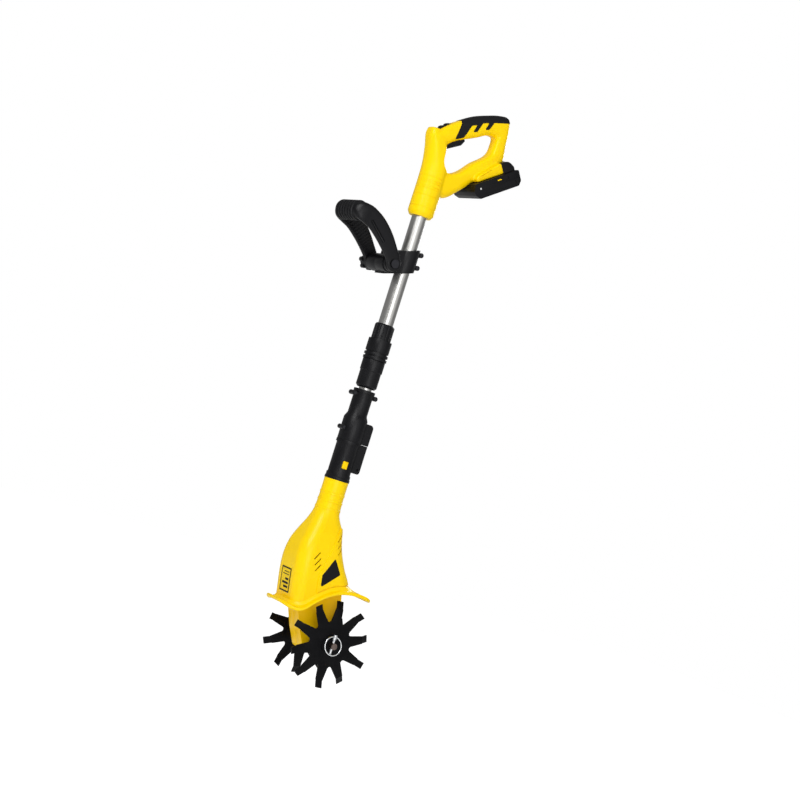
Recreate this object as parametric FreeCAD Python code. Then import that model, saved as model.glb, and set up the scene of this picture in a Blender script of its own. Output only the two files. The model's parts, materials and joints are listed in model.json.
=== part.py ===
import FreeCAD, Part
import math
import os

# Cordless garden tiller. Millimetres. +Z runs up the pole, -X is the front, -Y is the left side.
# The origin is the middle of the tine axle, which runs along Y.

V = FreeCAD.Vector

# ---------------------------------------------------------------- driving dimensions
POLE_X = -59.0            # pole axis, in front of the axle
RUN_CLEAR = 0.06          # radial clearance of a running or sliding fit
PRESS = 0.02              # radial clearance of a seat that doesn't move
BODY_GAP = 0.3            # gap between pieces that move past each other
SEAM = 0.1                # half the gap between the two halves of a casing

# pole
UPPER_TUBE_R, UPPER_TUBE_WALL = 14.0, 1.4
TUBE_GAP = 0.6            # radial gap between the two tubes
LOWER_TUBE_R, LOWER_TUBE_WALL = UPPER_TUBE_R - UPPER_TUBE_WALL - TUBE_GAP, 1.3
UPPER_TUBE_Z = (530.0, 880.0)
LOWER_TUBE_Z = (386.0, 764.0)
LEAD_R = 6.0              # outer radius of the coiled lead inside the pole

# D-handle
HANDLE_WALL = 2.8
HANDLE_HALF_WIDTH = 16.0
SOCKET_R = 24.5
SOCKET_BOTTOM_Z, SOCKET_LIP = 795.0, 9.0
SPINE_TOP_Z = 957.0
SHOULDER_Z = 886.0
PAD_THICK = 1.2
TRIGGER_PIN_X, TRIGGER_PIN_Z, TRIGGER_PIN_R = -44.0, 958.0, 2.0
TRIGGER_HALF = 7.0
LOCK_OFF_CENTRE, LOCK_OFF_SLOPE, LOCK_OFF_TRAVEL = (-67.5, 967.0), 39.5, 5.0
HANDLE_SCREWS = ((-20.0, 869.0), (22.0, 906.0), (61.0, 975.0), (30.0, 1010.0), (-68.0, 945.0))

# battery, in a frame that runs along its length and is tilted from X towards Z
BATTERY_TILT = 36.0
BATTERY_CORNER = (33.0, 863.0)
BATTERY_LENGTH, BATTERY_NOSE = 95.0, 10.0
BATTERY_HALF_WIDTH = 38.0
BATTERY_HEIGHT = 29.0
BATTERY_WALL = 2.2
HUMP_START, HUMP_TOP = 66.6, 48.5
HUMP_HALF_WIDTH = 26.0
FOOT_HALF_WIDTH = 31.0
FOOT_REAR_S = 66.0        # rear face of the handle's foot, along the pack
FOOT_FLOOR_H = BATTERY_HEIGHT + BODY_GAP
HUMP_ROOF_H = HUMP_TOP + 1.5
RAIL_HALF, RAIL_TOP_H = 22.0, 36.5
CASE_SPLIT_H = 15.0
LATCH_FLOOR_H, LATCH_TRAVEL = 37.0, 3.0
LATCH_S, LATCH_HALF = (75.0, 87.0), 12.0
TERMINAL_S, TERMINAL_TOP_H, TERMINAL_HALF = (22.0, 46.0), 41.0, 12.0
CELL_R, CELL_LENGTH = 9.0, 65.0

# telescopic lock
LOCK_TOP_Z, LOCK_FLUTE_R = 586.0, 18.6
LOCK_COLLAR_Z, LOCK_COLLAR_R = (533.0, 556.0), 22.0
LOCK_RING_Z, LOCK_RING_R = (518.0, 530.0), 22.4
SLEEVE_Z, SLEEVE_STEP_Z = (464.0, 517.4), 496.0
SLEEVE_R, SLEEVE_LOW_R = 21.0, 19.8
THREAD_R = 17.0

# front handle and its clamp
PIVOT_X, PIVOT_Z = -105.0, 691.0
CLAMP_R, CLAMP_TILT = 21.0, 18.5
CLAMP_HALF_HEIGHT = 20.5
CLAMP_MID_Z = 708.0
CLAMP_EAR_ZS = (703.5, 728.0)
EAR_X = POLE_X + 24.0
BARREL_R, BARREL_HALF = 14.5, 37.0
ARM_THICK = 8.5
ARM_INNER = BARREL_HALF + BODY_GAP
ARM_OUTER = ARM_INNER + ARM_THICK
GRIP_X, GRIP_Z, GRIP_R = -197.0, 760.0, 18.5
GRIP_RINGS = 7
BOLT_R = 4.0
KNOB_R, KNOB_THICK, KNOB_LOBES = 17.0, 13.0, 6

# quick coupler
COUPLER_Z = (362.6, 460.0)
COUPLER_NECK_R, COUPLER_BODY_R = 18.4, 22.6
COUPLER_FLANGE_R, COUPLER_FLANGE = 20.2, 6.0
COUPLER_SHOULDER_Z = (405.0, 414.0)
SPIGOT_R, SPIGOT_BOTTOM_Z = 16.0, 332.0
SOCKET_Z = (293.0, 362.0)
COUPLER_SOCKET_R = 21.2
COUPLER_EARS = ((POLE_X - 22.5, 450.0), (POLE_X + 22.5, 450.0), (POLE_X - 23.5, 384.0))
BLOCK_X, BLOCK_HALF = -22.0, 9.0
BLOCK_PLUG_X = POLE_X + 17.5
SOCKET_GAP = 0.8          # how much wider the socket is than the plug
BLOCK_TOP_Z, BLOCK_BOTTOM_Z = 402.0, 308.0
BUTTON_X, BUTTON_Z = -63.0, 318.0
BUTTON_HALF_WIDTH, BUTTON_HALF_HEIGHT = 5.0, 7.0
BUTTON_FLOOR_Y, BUTTON_TRAVEL, BUTTON_SPRING = 11.0, 3.0, 1.0

# tiller head: z, front x, rear x, half width, corner radius
HEAD_WALL = 2.6
HEAD_SECTIONS = (
    (288.0, -81.6, -36.4, 22.6, 21.6),
    (258.0, -81.4, -36.6, 22.4, 21.4),
    (232.0, -82.0, -35.5, 22.8, 21.0),
    (214.0, -85.0, -33.0, 25.5, 20.0),
    (192.0, -92.0, -29.0, 32.0, 20.0),
    (164.0, -102.0, -22.0, 40.0, 20.0),
    (138.0, -105.0, -7.0, 44.5, 20.0),
    (108.0, -102.0, 14.0, 46.0, 18.0),
    (75.0, -96.0, 22.0, 45.0, 18.0),
    (40.0, -90.0, 24.0, 43.0, 18.0),
)
VENT_CENTRES = (
    (-69.0, 144.0), (-64.5, 134.5), (-60.5, 125.0), (-46.0, 203.0), (-42.0, 193.0), (-38.0, 183.0),
)
HEAD_SCREWS = ((-74.0, 205.0), (-92.0, 120.0), (5.5, 110.5))
NECK_RING_Z = (288.0, 293.0)
NECK_RING_R = 23.6

# tines
SHAFT_R, SHAFT_HALF = 6.0, 71.0
WHEEL_Y = 52.0
TINE_COUNT, TINE_TIP_R, TINE_VALLEY_R = 10, 80.0, 42.0
TINE_STEEL = 3.0
TINE_ROOT_HALF, TINE_TIP_HALF = 9.0, 6.4
TINE_BEND, TINE_BEND_START_R = 6.0, TINE_TIP_R - 13.0
HUB_R, HUB_TUBE_R = 17.0, 11.0
LINCH_Y = 63.5
LINCH_R, LINCH_RING_R, LINCH_WIRE_R = 2.4, 17.0, 1.1
RING_LEAN = 10.0          # how far the rings lean outwards, in degrees

# guard: x and z of its upper surface, from front to rear, arched over the tines' tips
TIP = TINE_TIP_R
GUARD_LINE = (
    (-TIP - 32.0, TIP - 23.0), (-TIP - 16.0, TIP - 29.0), (-TIP + 2.0, TIP - 27.0), (-TIP + 26.0, TIP - 5.0),
    (-TIP + 46.0, TIP + 9.0), (-12.0, TIP + 18.0), (14.0, TIP + 22.0), (62.0, TIP + 21.0),
)
GUARD_THICK, GUARD_HALF_WIDTH, GUARD_CORNER = 4.0, 60.0, 44.0

# gear case and drive train
CASE_HALF, CASE_WALL = 21.5, 3.0
CASE_TOP_Z = 128.0
BUSH_R = 9.5
MODULE = 1.25
TEETH_FINAL, TEETH_IDLER, TEETH_LAY = 30, 42, 18
TRAIN_TILT = 24.0
GEAR_Y = (4.0, 10.0)       # the spur gears, beside the worm wheel
WORM_WHEEL_Y = (-5.0, 3.4)
MOTOR_R, MOTOR_LENGTH, MOTOR_WALL = 19.0, 62.0, 1.2
PIN_R = 3.0               # idler pin, layshaft and motor shaft
BOSS_R, BOSS_REACH = 6.0, 14.2
WORM_WHEEL_TEETH = 30
WORM_R = 6.5



# ---------------------------------------------------------------- shape helpers
def rod_z(radius, z0, z1, x=POLE_X, y=0.0):
    return Part.makeCylinder(radius, z1 - z0, V(x, y, z0), V(0, 0, 1))


def cone_z(r0, r1, z0, z1, x=POLE_X):
    return Part.makeCone(r0, r1, z1 - z0, V(x, 0, z0), V(0, 0, 1))


def rod_y(radius, y0, y1, x, z):
    return Part.makeCylinder(radius, y1 - y0, V(x, y0, z), V(0, 1, 0))


def rod_x(radius, x0, x1, y, z):
    return Part.makeCylinder(radius, x1 - x0, V(x0, y, z), V(1, 0, 0))


def tube_z(outer, inner, z0, z1, x=POLE_X):
    return rod_z(outer, z0, z1, x).cut(rod_z(inner, z0, z1, x))


def block(x0, x1, y0, y1, z0, z1):
    return Part.makeBox(x1 - x0, y1 - y0, z1 - z0, V(x0, y0, z0))


def join(first, *others):
    return first.fuse(list(others)).removeSplitter()


def rounded_wire(corners, plane="xz", level=0.0):
    """Closed wire through corners (u, v, radius), with an arc of that radius at each one."""
    def lift(u, v):
        return V(u, level, v) if plane == "xz" else V(u, v, level)

    count = len(corners)
    starts, ends, middles = [], [], []
    for i, (u, v, radius) in enumerate(corners):
        before, after = corners[i - 1], corners[(i + 1) % count]
        a = math.atan2(before[1] - v, before[0] - u)
        b = math.atan2(after[1] - v, after[0] - u)
        half = abs((b - a + math.pi) % (2 * math.pi) - math.pi) / 2
        reach = radius / math.tan(half)
        if reach < 0.5:
            radius = reach = 0.0
        starts.append(lift(u + reach * math.cos(a), v + reach * math.sin(a)))
        ends.append(lift(u + reach * math.cos(b), v + reach * math.sin(b)))
        to_centre = radius / math.sin(half)
        mid = math.atan2(math.sin(a) + math.sin(b), math.cos(a) + math.cos(b))
        inner = to_centre - radius
        middles.append(lift(u + inner * math.cos(mid), v + inner * math.sin(mid)))
    edges = []
    for i in range(count):
        if starts[i].distanceToPoint(ends[i]) > 1e-6:
            edges.append(Part.Arc(starts[i], middles[i], ends[i]).toShape())
        nxt = (i + 1) % count
        if ends[i].distanceToPoint(starts[nxt]) > 1e-6:
            edges.append(Part.LineSegment(ends[i], starts[nxt]).toShape())
    return Part.Wire(edges)


def plate(corners, y0, y1):
    """Plate in XZ from y0 to y1, with rounded corners."""
    return Part.Face(rounded_wire(corners, level=y0)).extrude(V(0, y1 - y0, 0))


def inset(corners, distance):
    """The same outline, taken counter-clockwise, with each side moved inwards by a distance."""
    count = len(corners)
    area = sum(corners[i - 1][0] * corners[i][1] - corners[i][0] * corners[i - 1][1] for i in range(count))
    sign = 1.0 if area > 0 else -1.0
    moved = []
    for i, (u, v, radius) in enumerate(corners):
        before, after = corners[i - 1], corners[(i + 1) % count]
        a = math.atan2(v - before[1], u - before[0])
        b = math.atan2(after[1] - v, after[0] - u)
        turn = (b - a + math.pi) % (2 * math.pi) - math.pi
        middle = a + turn / 2 + sign * math.pi / 2
        step = distance / math.cos(turn / 2)
        round_by = -distance if turn * sign > 0 else distance
        moved.append((u + step * math.cos(middle), v + step * math.sin(middle), max(radius + round_by, 0.3)))
    return moved


def ribbon(line, thick, y0, y1):
    """Sheet under a line of (x, z) points, extruded along Y."""
    low = [(x, z - thick) for x, z in reversed(line)]
    points = [V(x, y0, z) for x, z in list(line) + low]
    return Part.Face(Part.makePolygon(points + points[:1])).extrude(V(0, y1 - y0, 0))


def section(z, front, rear, half, corner, inset=0.0):
    x0, x1, h, r = front + inset, rear - inset, half - inset, corner - inset
    return rounded_wire([(x0, -h, r), (x1, -h, r), (x1, h, r), (x0, h, r)], "xy", z)


def loft(rows, inset=0.0):
    return Part.makeLoft([section(*row, inset=inset) for row in rows], True, False)


def halves(shape):
    """Left (-Y) and right (+Y) halves, with a thin seam between them."""
    box = shape.BoundBox
    big = 10.0
    left = block(box.XMin - big, box.XMax + big, box.YMin - big, -SEAM, box.ZMin - big, box.ZMax + big)
    right = block(box.XMin - big, box.XMax + big, SEAM, box.YMax + big, box.ZMin - big, box.ZMax + big)
    return shape.common(left), shape.common(right)


def screw_y(x, z, y0, y1, radius=1.6, head=3.0, head_length=2.4):
    """Pan-head screw whose head is at y0."""
    turn = 1 if y1 > y0 else -1
    low, high = min(y0, y1), max(y0, y1)
    head_low = y0 if turn > 0 else y0 - head_length
    return join(rod_y(radius, low, high, x, z), rod_y(head, head_low, head_low + head_length, x, z))


def coil(radius, wire, pitch, length, base, direction):
    helix = Part.makeHelix(pitch, length, radius)
    start = V(radius, 0, 0)
    ring = Part.Wire(Part.makeCircle(wire, start, V(0, radius, pitch / (2 * math.pi))))
    body = Part.Wire(helix.Edges).makePipeShell([ring], True, True)
    body.Placement = FreeCAD.Placement(base, FreeCAD.Rotation(V(0, 0, 1), direction))
    return body


def gear(teeth, x, z, y0, y1, bore, phase=0.0):
    """Spur gear about Y with straight-sided teeth and running backlash."""
    pitch_r = MODULE * teeth / 2
    root_r, tip_r = pitch_r - 1.25 * MODULE, pitch_r + 0.9 * MODULE
    step = 2 * math.pi / teeth
    points = []
    for k in range(teeth):
        middle = phase + k * step
        for radius, share in ((root_r, -0.30), (tip_r, -0.12), (tip_r, 0.12), (root_r, 0.30)):
            angle = middle + share * step
            points.append(V(x + radius * math.cos(angle), y0, z + radius * math.sin(angle)))
    body = Part.Face(Part.makePolygon(points + points[:1])).extrude(V(0, y1 - y0, 0))
    return body.cut(rod_y(bore, y0, y1, x, z))


# ---------------------------------------------------------------- battery frame
def along(s, h):
    """Point of the battery frame: s along the pack, h square to it."""
    t = math.radians(BATTERY_TILT)
    x0, z0 = BATTERY_CORNER
    return (x0 + s * math.cos(t) - h * math.sin(t), z0 + s * math.sin(t) + h * math.cos(t))


def tilted(corners, y0, y1):
    return plate([along(s, h) + (r,) for s, h, r in corners], y0, y1)


# ---------------------------------------------------------------- D-handle
HANDLE_OUTLINE = (
    (-68.0, 836.0, 2.0), (-34.0, 843.0, 4.0), along(5.0, FOOT_FLOOR_H + 1.0) + (6.0,),
    along(FOOT_REAR_S - 1.0, FOOT_FLOOR_H + 1.0) + (2.0,),
    along(FOOT_REAR_S - 1.0, HUMP_ROOF_H) + (1.0,), along(FOOT_REAR_S + 18.0, HUMP_ROOF_H) + (4.0,),
    (64.0, 1002.0, 40.0), (57.5, 1030.5, 9.0), (34.0, 1029.0, 30.0), (4.0, 1015.0, 60.0),
    (-34.0, 993.0, 30.0), (-57.0, 974.0, 8.0), (-80.0, 955.0, 6.0),
)
HANDLE_OPENING = (
    (-54.0, 936.0, 5.0), (-54.0, 908.0, 11.0), (-38.0, 891.0, 12.0), (-14.0, 892.0, 14.0),
    (46.0, 954.0, 9.0), (47.0, 986.0, 9.0), (22.0, 986.0, 12.0), (-13.0, 965.0, 5.0),
)
FOOT_CORNERS = (
    (6.0, FOOT_FLOOR_H, 1.5), (FOOT_REAR_S, FOOT_FLOOR_H, 1.5), (FOOT_REAR_S, 50.5, 3.0), (10.0, 40.5, 6.0),
    (5.0, 36.0, 3.0),
)
TRIGGER_CORNERS = (
    (-52.0, 958.0, 3.0), (-56.5, 938.0, 3.0), (-53.0, 928.5, 4.0), (-24.0, 946.5, 6.0), (-18.5, 957.0, 2.0),
    (-30.0, 968.0, 2.0),
)
TRIGGER_WINDOW = (
    (-60.0, 972.0, 1.0), (-60.0, 926.0, 1.0), (-50.0, 920.0, 1.0), (-14.0, 945.0, 1.0), (-15.5, 962.0, 1.0),
    (-26.0, 974.0, 1.0),
)
PAD_OUTLINE = (
    (-45.0, 950.0, 2.0), (-27.0, 960.0, 2.0), (-19.0, 984.0, 3.0), (-9.0, 990.0, 2.0), (-13.0, 977.0, 1.5),
    (-4.0, 981.0, 1.5), (3.0, 997.0, 2.0), (15.0, 1003.0, 2.0), (10.0, 990.0, 1.5), (19.0, 994.0, 1.5),
    (25.0, 1008.0, 2.0), (56.0, 1019.0, 3.0), (60.0, 1036.0, 2.0), (30.0, 1040.0, 2.0), (-38.0, 1004.0, 2.0),
    (-40.0, 988.0, 2.0),
)


def spine(inset=0.0):
    """Round socket for the tube that turns into the flat front of the D-handle."""
    def ring(z, radius):
        return (z, POLE_X - radius, POLE_X + radius, radius, radius - 0.1)

    lip_top = SOCKET_BOTTOM_Z + SOCKET_LIP
    shoulder = ring(SHOULDER_Z, SOCKET_R)
    crown = (SPINE_TOP_Z - inset, -91.0, -66.0, 15.0, 10.0)
    top = loft([shoulder, (925.0, -88.5, -45.0, 20.0, 17.0), crown], inset)
    column = join(top, loft([ring(lip_top, SOCKET_R), shoulder], inset))
    if inset:
        return column
    return join(column, loft([ring(SOCKET_BOTTOM_Z, SOCKET_R - 5.5), ring(lip_top, SOCKET_R)]))


def handle_shells():
    outer = join(spine(), plate(HANDLE_OUTLINE, -HANDLE_HALF_WIDTH, HANDLE_HALF_WIDTH),
                 tilted(FOOT_CORNERS, -FOOT_HALF_WIDTH, FOOT_HALF_WIDTH))
    inside_half = HANDLE_HALF_WIDTH - HANDLE_WALL
    inner = join(spine(HANDLE_WALL), plate(inset(HANDLE_OUTLINE, HANDLE_WALL), -inside_half, inside_half))
    ring_wall = plate(inset(HANDLE_OPENING, -HANDLE_WALL), -inside_half - 1, inside_half + 1)
    inner = inner.cut(ring_wall)
    shell = outer.cut(inner).cut(plate(HANDLE_OPENING, -60, 60))
    # bore for the tube, with a wall left around it
    boss = rod_z(UPPER_TUBE_R + 3.0, SOCKET_BOTTOM_Z + SOCKET_LIP, UPPER_TUBE_Z[1])
    shell = shell.fuse(boss.cut(plate(HANDLE_OPENING, -60, 60)))
    shell = shell.cut(rod_z(UPPER_TUBE_R + PRESS, SOCKET_BOTTOM_Z - 1, UPPER_TUBE_Z[1]))
    shell = shell.cut(rod_z(LEAD_R + 2, UPPER_TUBE_Z[1] - 1, UPPER_TUBE_Z[1] + 12))
    # channel for the battery rails, open to the rear
    rail = tilted(((8.0, 20.0, 0.5), (90.0, 20.0, 0.5), (90.0, RAIL_TOP_H + BODY_GAP, 0.5),
                   (8.0, RAIL_TOP_H + BODY_GAP, 0.5)), -RAIL_HALF - BODY_GAP, RAIL_HALF + BODY_GAP)
    shell = shell.cut(rail).cut(terminal_block(PRESS))
    # window for the trigger and slot for the lock-off button
    shell = shell.fuse(rod_y(4.2, -inside_half, inside_half, TRIGGER_PIN_X, TRIGGER_PIN_Z))
    window = plate(TRIGGER_WINDOW, -TRIGGER_HALF - BODY_GAP, TRIGGER_HALF + BODY_GAP)
    shell = shell.cut(window).cut(lock_off_slot())
    for x, z in HANDLE_SCREWS:
        post = rod_y(4.2, -inside_half, inside_half, x, z)
        shell = shell.fuse(post).cut(rod_y(1.6, -HANDLE_HALF_WIDTH + 5, HANDLE_HALF_WIDTH - 1, x, z))
        shell = shell.cut(rod_y(3.1, HANDLE_HALF_WIDTH - 3.4, 60, x, z))
    shell = shell.cut(rod_y(TRIGGER_PIN_R + PRESS, -inside_half, inside_half, TRIGGER_PIN_X, TRIGGER_PIN_Z))
    return halves(shell)


def on_slope(shape, centre, angle):
    shape.rotate(V(0, 0, 0), V(0, 1, 0), -angle)
    shape.translate(V(centre[0], 0, centre[1]))
    return shape


def lock_off_slot():
    room = block(-11.5, 11.5 + LOCK_OFF_TRAVEL, -6.3, 6.3, -7.3, 12)
    return on_slope(room, LOCK_OFF_CENTRE, LOCK_OFF_SLOPE)


def lock_off_button():
    body = join(block(-11, 11, -6, 6, -6, 2.0), block(-8, -2, -6, 6, 2.0, 3.6), block(4, 10, -6, 6, 2.0, 3.6))
    return on_slope(body, LOCK_OFF_CENTRE, LOCK_OFF_SLOPE)


def grip_pad():
    """Soft pad over the top of the grip, with three fingers down each side."""
    half = HANDLE_HALF_WIDTH + PAD_THICK
    body = plate(PAD_OUTLINE, -half, half)
    cover = plate(inset(HANDLE_OUTLINE, -PAD_THICK), -half, half)
    return body.common(cover).cut(plate(HANDLE_OUTLINE, -HANDLE_HALF_WIDTH, HANDLE_HALF_WIDTH))


def trigger():
    body = plate(TRIGGER_CORNERS, -TRIGGER_HALF, TRIGGER_HALF)
    return body.cut(rod_y(TRIGGER_PIN_R + RUN_CLEAR, -30, 30, TRIGGER_PIN_X, TRIGGER_PIN_Z))


def handle_screws():
    screws = [screw_y(x, z, HANDLE_HALF_WIDTH - 1.0, -HANDLE_HALF_WIDTH + 5) for x, z in HANDLE_SCREWS]
    return Part.makeCompound(screws)


def trigger_switch():
    half = HANDLE_HALF_WIDTH - HANDLE_WALL - BODY_GAP
    body = block(-14, 14, -half, half, -7, 7)
    return on_slope(body, (-13.0, 986.0), 28.0)


def terminal_block(grow=0.0):
    low, high = RAIL_TOP_H + BODY_GAP - grow, TERMINAL_TOP_H + grow
    near, far = TERMINAL_S[0] - grow, TERMINAL_S[1] + grow
    corners = ((near, low, 0.5), (far, low, 0.5), (far, high, 0.5), (near, high, 0.5))
    return tilted(corners, -TERMINAL_HALF - grow, TERMINAL_HALF + grow)


# ---------------------------------------------------------------- battery pack
PACK_CORNERS = (
    (0.0, 0.0, 3.0), (BATTERY_LENGTH - 7.0, 0.0, 4.0), (BATTERY_LENGTH, 8.0, 5.0),
    (BATTERY_LENGTH, BATTERY_HEIGHT, 3.0), (-4.0, BATTERY_HEIGHT, 3.0), (-BATTERY_NOSE, 16.0, 5.0),
    (2.0 - BATTERY_NOSE, 8.0, 4.0),
)
HUMP_CORNERS = (
    (HUMP_START, BATTERY_HEIGHT - 1, 0.5), (BATTERY_LENGTH - 1, BATTERY_HEIGHT - 1, 0.5),
    (BATTERY_LENGTH - 1, 35.0, 8.0), (BATTERY_LENGTH - 10, HUMP_TOP, 14.0), (HUMP_START, HUMP_TOP, 2.0),
)


def pack_body():
    body = tilted(PACK_CORNERS, -BATTERY_HALF_WIDTH, BATTERY_HALF_WIDTH)
    w = BATTERY_WALL
    return body.cut(tilted(inset(PACK_CORNERS, w), -BATTERY_HALF_WIDTH + w, BATTERY_HALF_WIDTH - w))


def pack_band(h0, h1):
    return tilted(((-40.0, h0, 0.1), (140.0, h0, 0.1), (140.0, h1, 0.1), (-40.0, h1, 0.1)), -60, 60)


def battery_lower_case():
    return pack_body().common(pack_band(-20.0, CASE_SPLIT_H))


def battery_upper_case():
    top = pack_body().common(pack_band(CASE_SPLIT_H, 80.0))
    rail = tilted(((9.0, BATTERY_HEIGHT - 1, 0.3), (HUMP_START + 2, BATTERY_HEIGHT - 1, 0.3),
                   (HUMP_START + 2, RAIL_TOP_H, 0.3), (9.0, RAIL_TOP_H, 1.0)), -RAIL_HALF, RAIL_HALF)
    hump = tilted(HUMP_CORNERS, -HUMP_HALF_WIDTH, HUMP_HALF_WIDTH)
    return join(top, rail, hump).cut(latch_column(BODY_GAP, LATCH_FLOOR_H - LATCH_TRAVEL - 1.0))


def latch_column(grow, floor):
    near, far = LATCH_S[0] - grow, LATCH_S[1] + grow
    corners = ((near, floor, 0.8), (far, floor, 0.8), (far, 80.0, 0.8), (near, 80.0, 0.8))
    return tilted(corners, -LATCH_HALF - grow, LATCH_HALF + grow)


def battery_latch():
    keep = tilted(inset(HUMP_CORNERS, -0.8), -40, 40)
    return latch_column(0.0, LATCH_FLOOR_H).common(keep)


def battery_cells():
    cells = []
    for k in range(5):
        x, z = along(8.2 + k * (2 * CELL_R + 0.3), BATTERY_WALL + CELL_R + BODY_GAP)
        cells.append(rod_y(CELL_R, -CELL_LENGTH / 2, CELL_LENGTH / 2, x, z))
    return Part.makeCompound(cells)


# ---------------------------------------------------------------- pole and lock
def upper_tube():
    return tube_z(UPPER_TUBE_R, UPPER_TUBE_R - UPPER_TUBE_WALL, *UPPER_TUBE_Z)


def lower_tube():
    return tube_z(LOWER_TUBE_R, LOWER_TUBE_R - LOWER_TUBE_WALL, *LOWER_TUBE_Z)


def tube_end_bush():
    bore = LEAD_R + 0.8
    rim = tube_z(UPPER_TUBE_R - UPPER_TUBE_WALL - RUN_CLEAR, bore, LOWER_TUBE_Z[1], LOWER_TUBE_Z[1] + 8)
    plug = tube_z(LOWER_TUBE_R - LOWER_TUBE_WALL - PRESS, bore, LOWER_TUBE_Z[1] - 14, LOWER_TUBE_Z[1])
    return join(rim, plug)


def coiled_lead():
    return rod_z(LEAD_R, LOWER_TUBE_Z[0] + 2, UPPER_TUBE_Z[1] + 6)


def lock_body():
    body = join(rod_z(LOCK_FLUTE_R, LOCK_COLLAR_Z[1], LOCK_TOP_Z - 3),
                cone_z(LOCK_FLUTE_R, LOCK_FLUTE_R - 2, LOCK_TOP_Z - 3, LOCK_TOP_Z),
                rod_z(LOCK_COLLAR_R, *LOCK_COLLAR_Z),
                rod_z(LOCK_RING_R - 2.5, LOCK_RING_Z[0], LOCK_COLLAR_Z[0]),
                rod_z(THREAD_R, SLEEVE_STEP_Z + 3, LOCK_RING_Z[0]))
    for z in (LOCK_RING_Z[0], LOCK_RING_Z[0] + 7.5):
        body = body.fuse(rod_z(LOCK_RING_R, z, z + 4.5))
    flutes = [rod_z(1.6, LOCK_COLLAR_Z[1] + 2, LOCK_TOP_Z + 1, POLE_X + (LOCK_FLUTE_R + 0.6) * math.cos(a),
                    (LOCK_FLUTE_R + 0.6) * math.sin(a)) for a in (math.radians(24 * k) for k in range(15))]
    body = body.cut(flutes)
    body = body.cut(rod_z(UPPER_TUBE_R + PRESS, UPPER_TUBE_Z[0], LOCK_TOP_Z + 1))
    return body.cut(rod_z(LOWER_TUBE_R + RUN_CLEAR, SLEEVE_STEP_Z, UPPER_TUBE_Z[0]))


def lock_collet():
    ring = tube_z(THREAD_R - 2.0, LOWER_TUBE_R + RUN_CLEAR, SLEEVE_Z[0] + 6, SLEEVE_STEP_Z + 3)
    return ring.cut(block(POLE_X, POLE_X + 40, -1, 1, SLEEVE_Z[0], SLEEVE_STEP_Z))


def lock_twist_sleeve():
    body = join(rod_z(SLEEVE_R, SLEEVE_STEP_Z, SLEEVE_Z[1]),
                rod_z(SLEEVE_LOW_R, SLEEVE_Z[0] + 4, SLEEVE_STEP_Z),
                cone_z(SLEEVE_LOW_R - 3.5, SLEEVE_LOW_R, SLEEVE_Z[0], SLEEVE_Z[0] + 4))
    body = body.cut(rod_z(THREAD_R + RUN_CLEAR, SLEEVE_STEP_Z + 2.7, SLEEVE_Z[1] + 1))
    body = body.cut(rod_z(THREAD_R - 2.0 + RUN_CLEAR, SLEEVE_Z[0] + 5.7, SLEEVE_STEP_Z + 2.8))
    return body.cut(rod_z(LOWER_TUBE_R + BODY_GAP, SLEEVE_Z[0] - 1, SLEEVE_Z[0] + 6))


# ---------------------------------------------------------------- front handle
def clamp_halves():
    body = join(rod_z(CLAMP_R, 640, 780), rod_y(BARREL_R + 2, -28, 28, PIVOT_X, PIVOT_Z),
                block(PIVOT_X, POLE_X, -16, 16, 640, 780))
    slab = block(-90, 90, -60, 60, -CLAMP_HALF_HEIGHT, CLAMP_HALF_HEIGHT)
    body = body.common(on_slope(slab, (POLE_X, CLAMP_MID_Z), CLAMP_TILT))
    body = join(body, rod_y(BARREL_R, -BARREL_HALF, BARREL_HALF, PIVOT_X, PIVOT_Z))
    for z in CLAMP_EAR_ZS:
        body = join(body, rod_y(4.6, -9, 9, EAR_X, z), block(POLE_X + 15, EAR_X, -7, 7, z - 3.2, z + 3.2))
        body = body.cut(rod_y(1.7, -7, 20, EAR_X, z)).cut(rod_y(3.2, -20, -7, EAR_X, z))
    body = body.cut(rod_z(UPPER_TUBE_R + RUN_CLEAR, 600, 800))
    body = body.cut(rod_y(BOLT_R, -60, 60, PIVOT_X, PIVOT_Z))
    return halves(body)


def clamp_screws():
    screws = [screw_y(EAR_X, z, -8.8, 8.0, 1.7, 3.1, 1.8) for z in CLAMP_EAR_ZS]
    return Part.makeCompound(screws)


ARM_CORNERS = (
    (PIVOT_X - 15.5, PIVOT_Z - 13.5, 13.0), (PIVOT_X + 13.0, PIVOT_Z - 13.5, 13.0),
    (PIVOT_X + 1.0, PIVOT_Z + 30.0, 40.0), (PIVOT_X - 34.0, PIVOT_Z + 74.0, 70.0),
    (GRIP_X - 10.0, GRIP_Z + 26.0, 20.0), (GRIP_X - 16.0, GRIP_Z - 12.0, 16.0),
    (PIVOT_X - 68.0, PIVOT_Z + 47.0, 30.0), (PIVOT_X - 38.0, PIVOT_Z + 20.0, 50.0),
)


def aux_loop():
    arms = [plate(ARM_CORNERS, *sorted((side * ARM_INNER, side * ARM_OUTER))) for side in (-1, 1)]
    core = rod_y(GRIP_R - 1.5, -ARM_OUTER, ARM_OUTER, GRIP_X, GRIP_Z)
    step = 2 * ARM_INNER / GRIP_RINGS
    rings = [rod_y(GRIP_R, -ARM_INNER + (k + 0.2) * step, -ARM_INNER + (k + 0.8) * step, GRIP_X, GRIP_Z)
             for k in range(GRIP_RINGS)]
    body = join(core, *(arms + rings))
    return body.cut(rod_y(BOLT_R + RUN_CLEAR, -80, 80, PIVOT_X, PIVOT_Z))


def pivot_bolt():
    shank = rod_y(BOLT_R, -ARM_OUTER - BODY_GAP, ARM_OUTER + KNOB_THICK, PIVOT_X, PIVOT_Z)
    return join(shank, rod_y(8.0, -ARM_OUTER - 2.5, -ARM_OUTER - BODY_GAP, PIVOT_X, PIVOT_Z))


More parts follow.
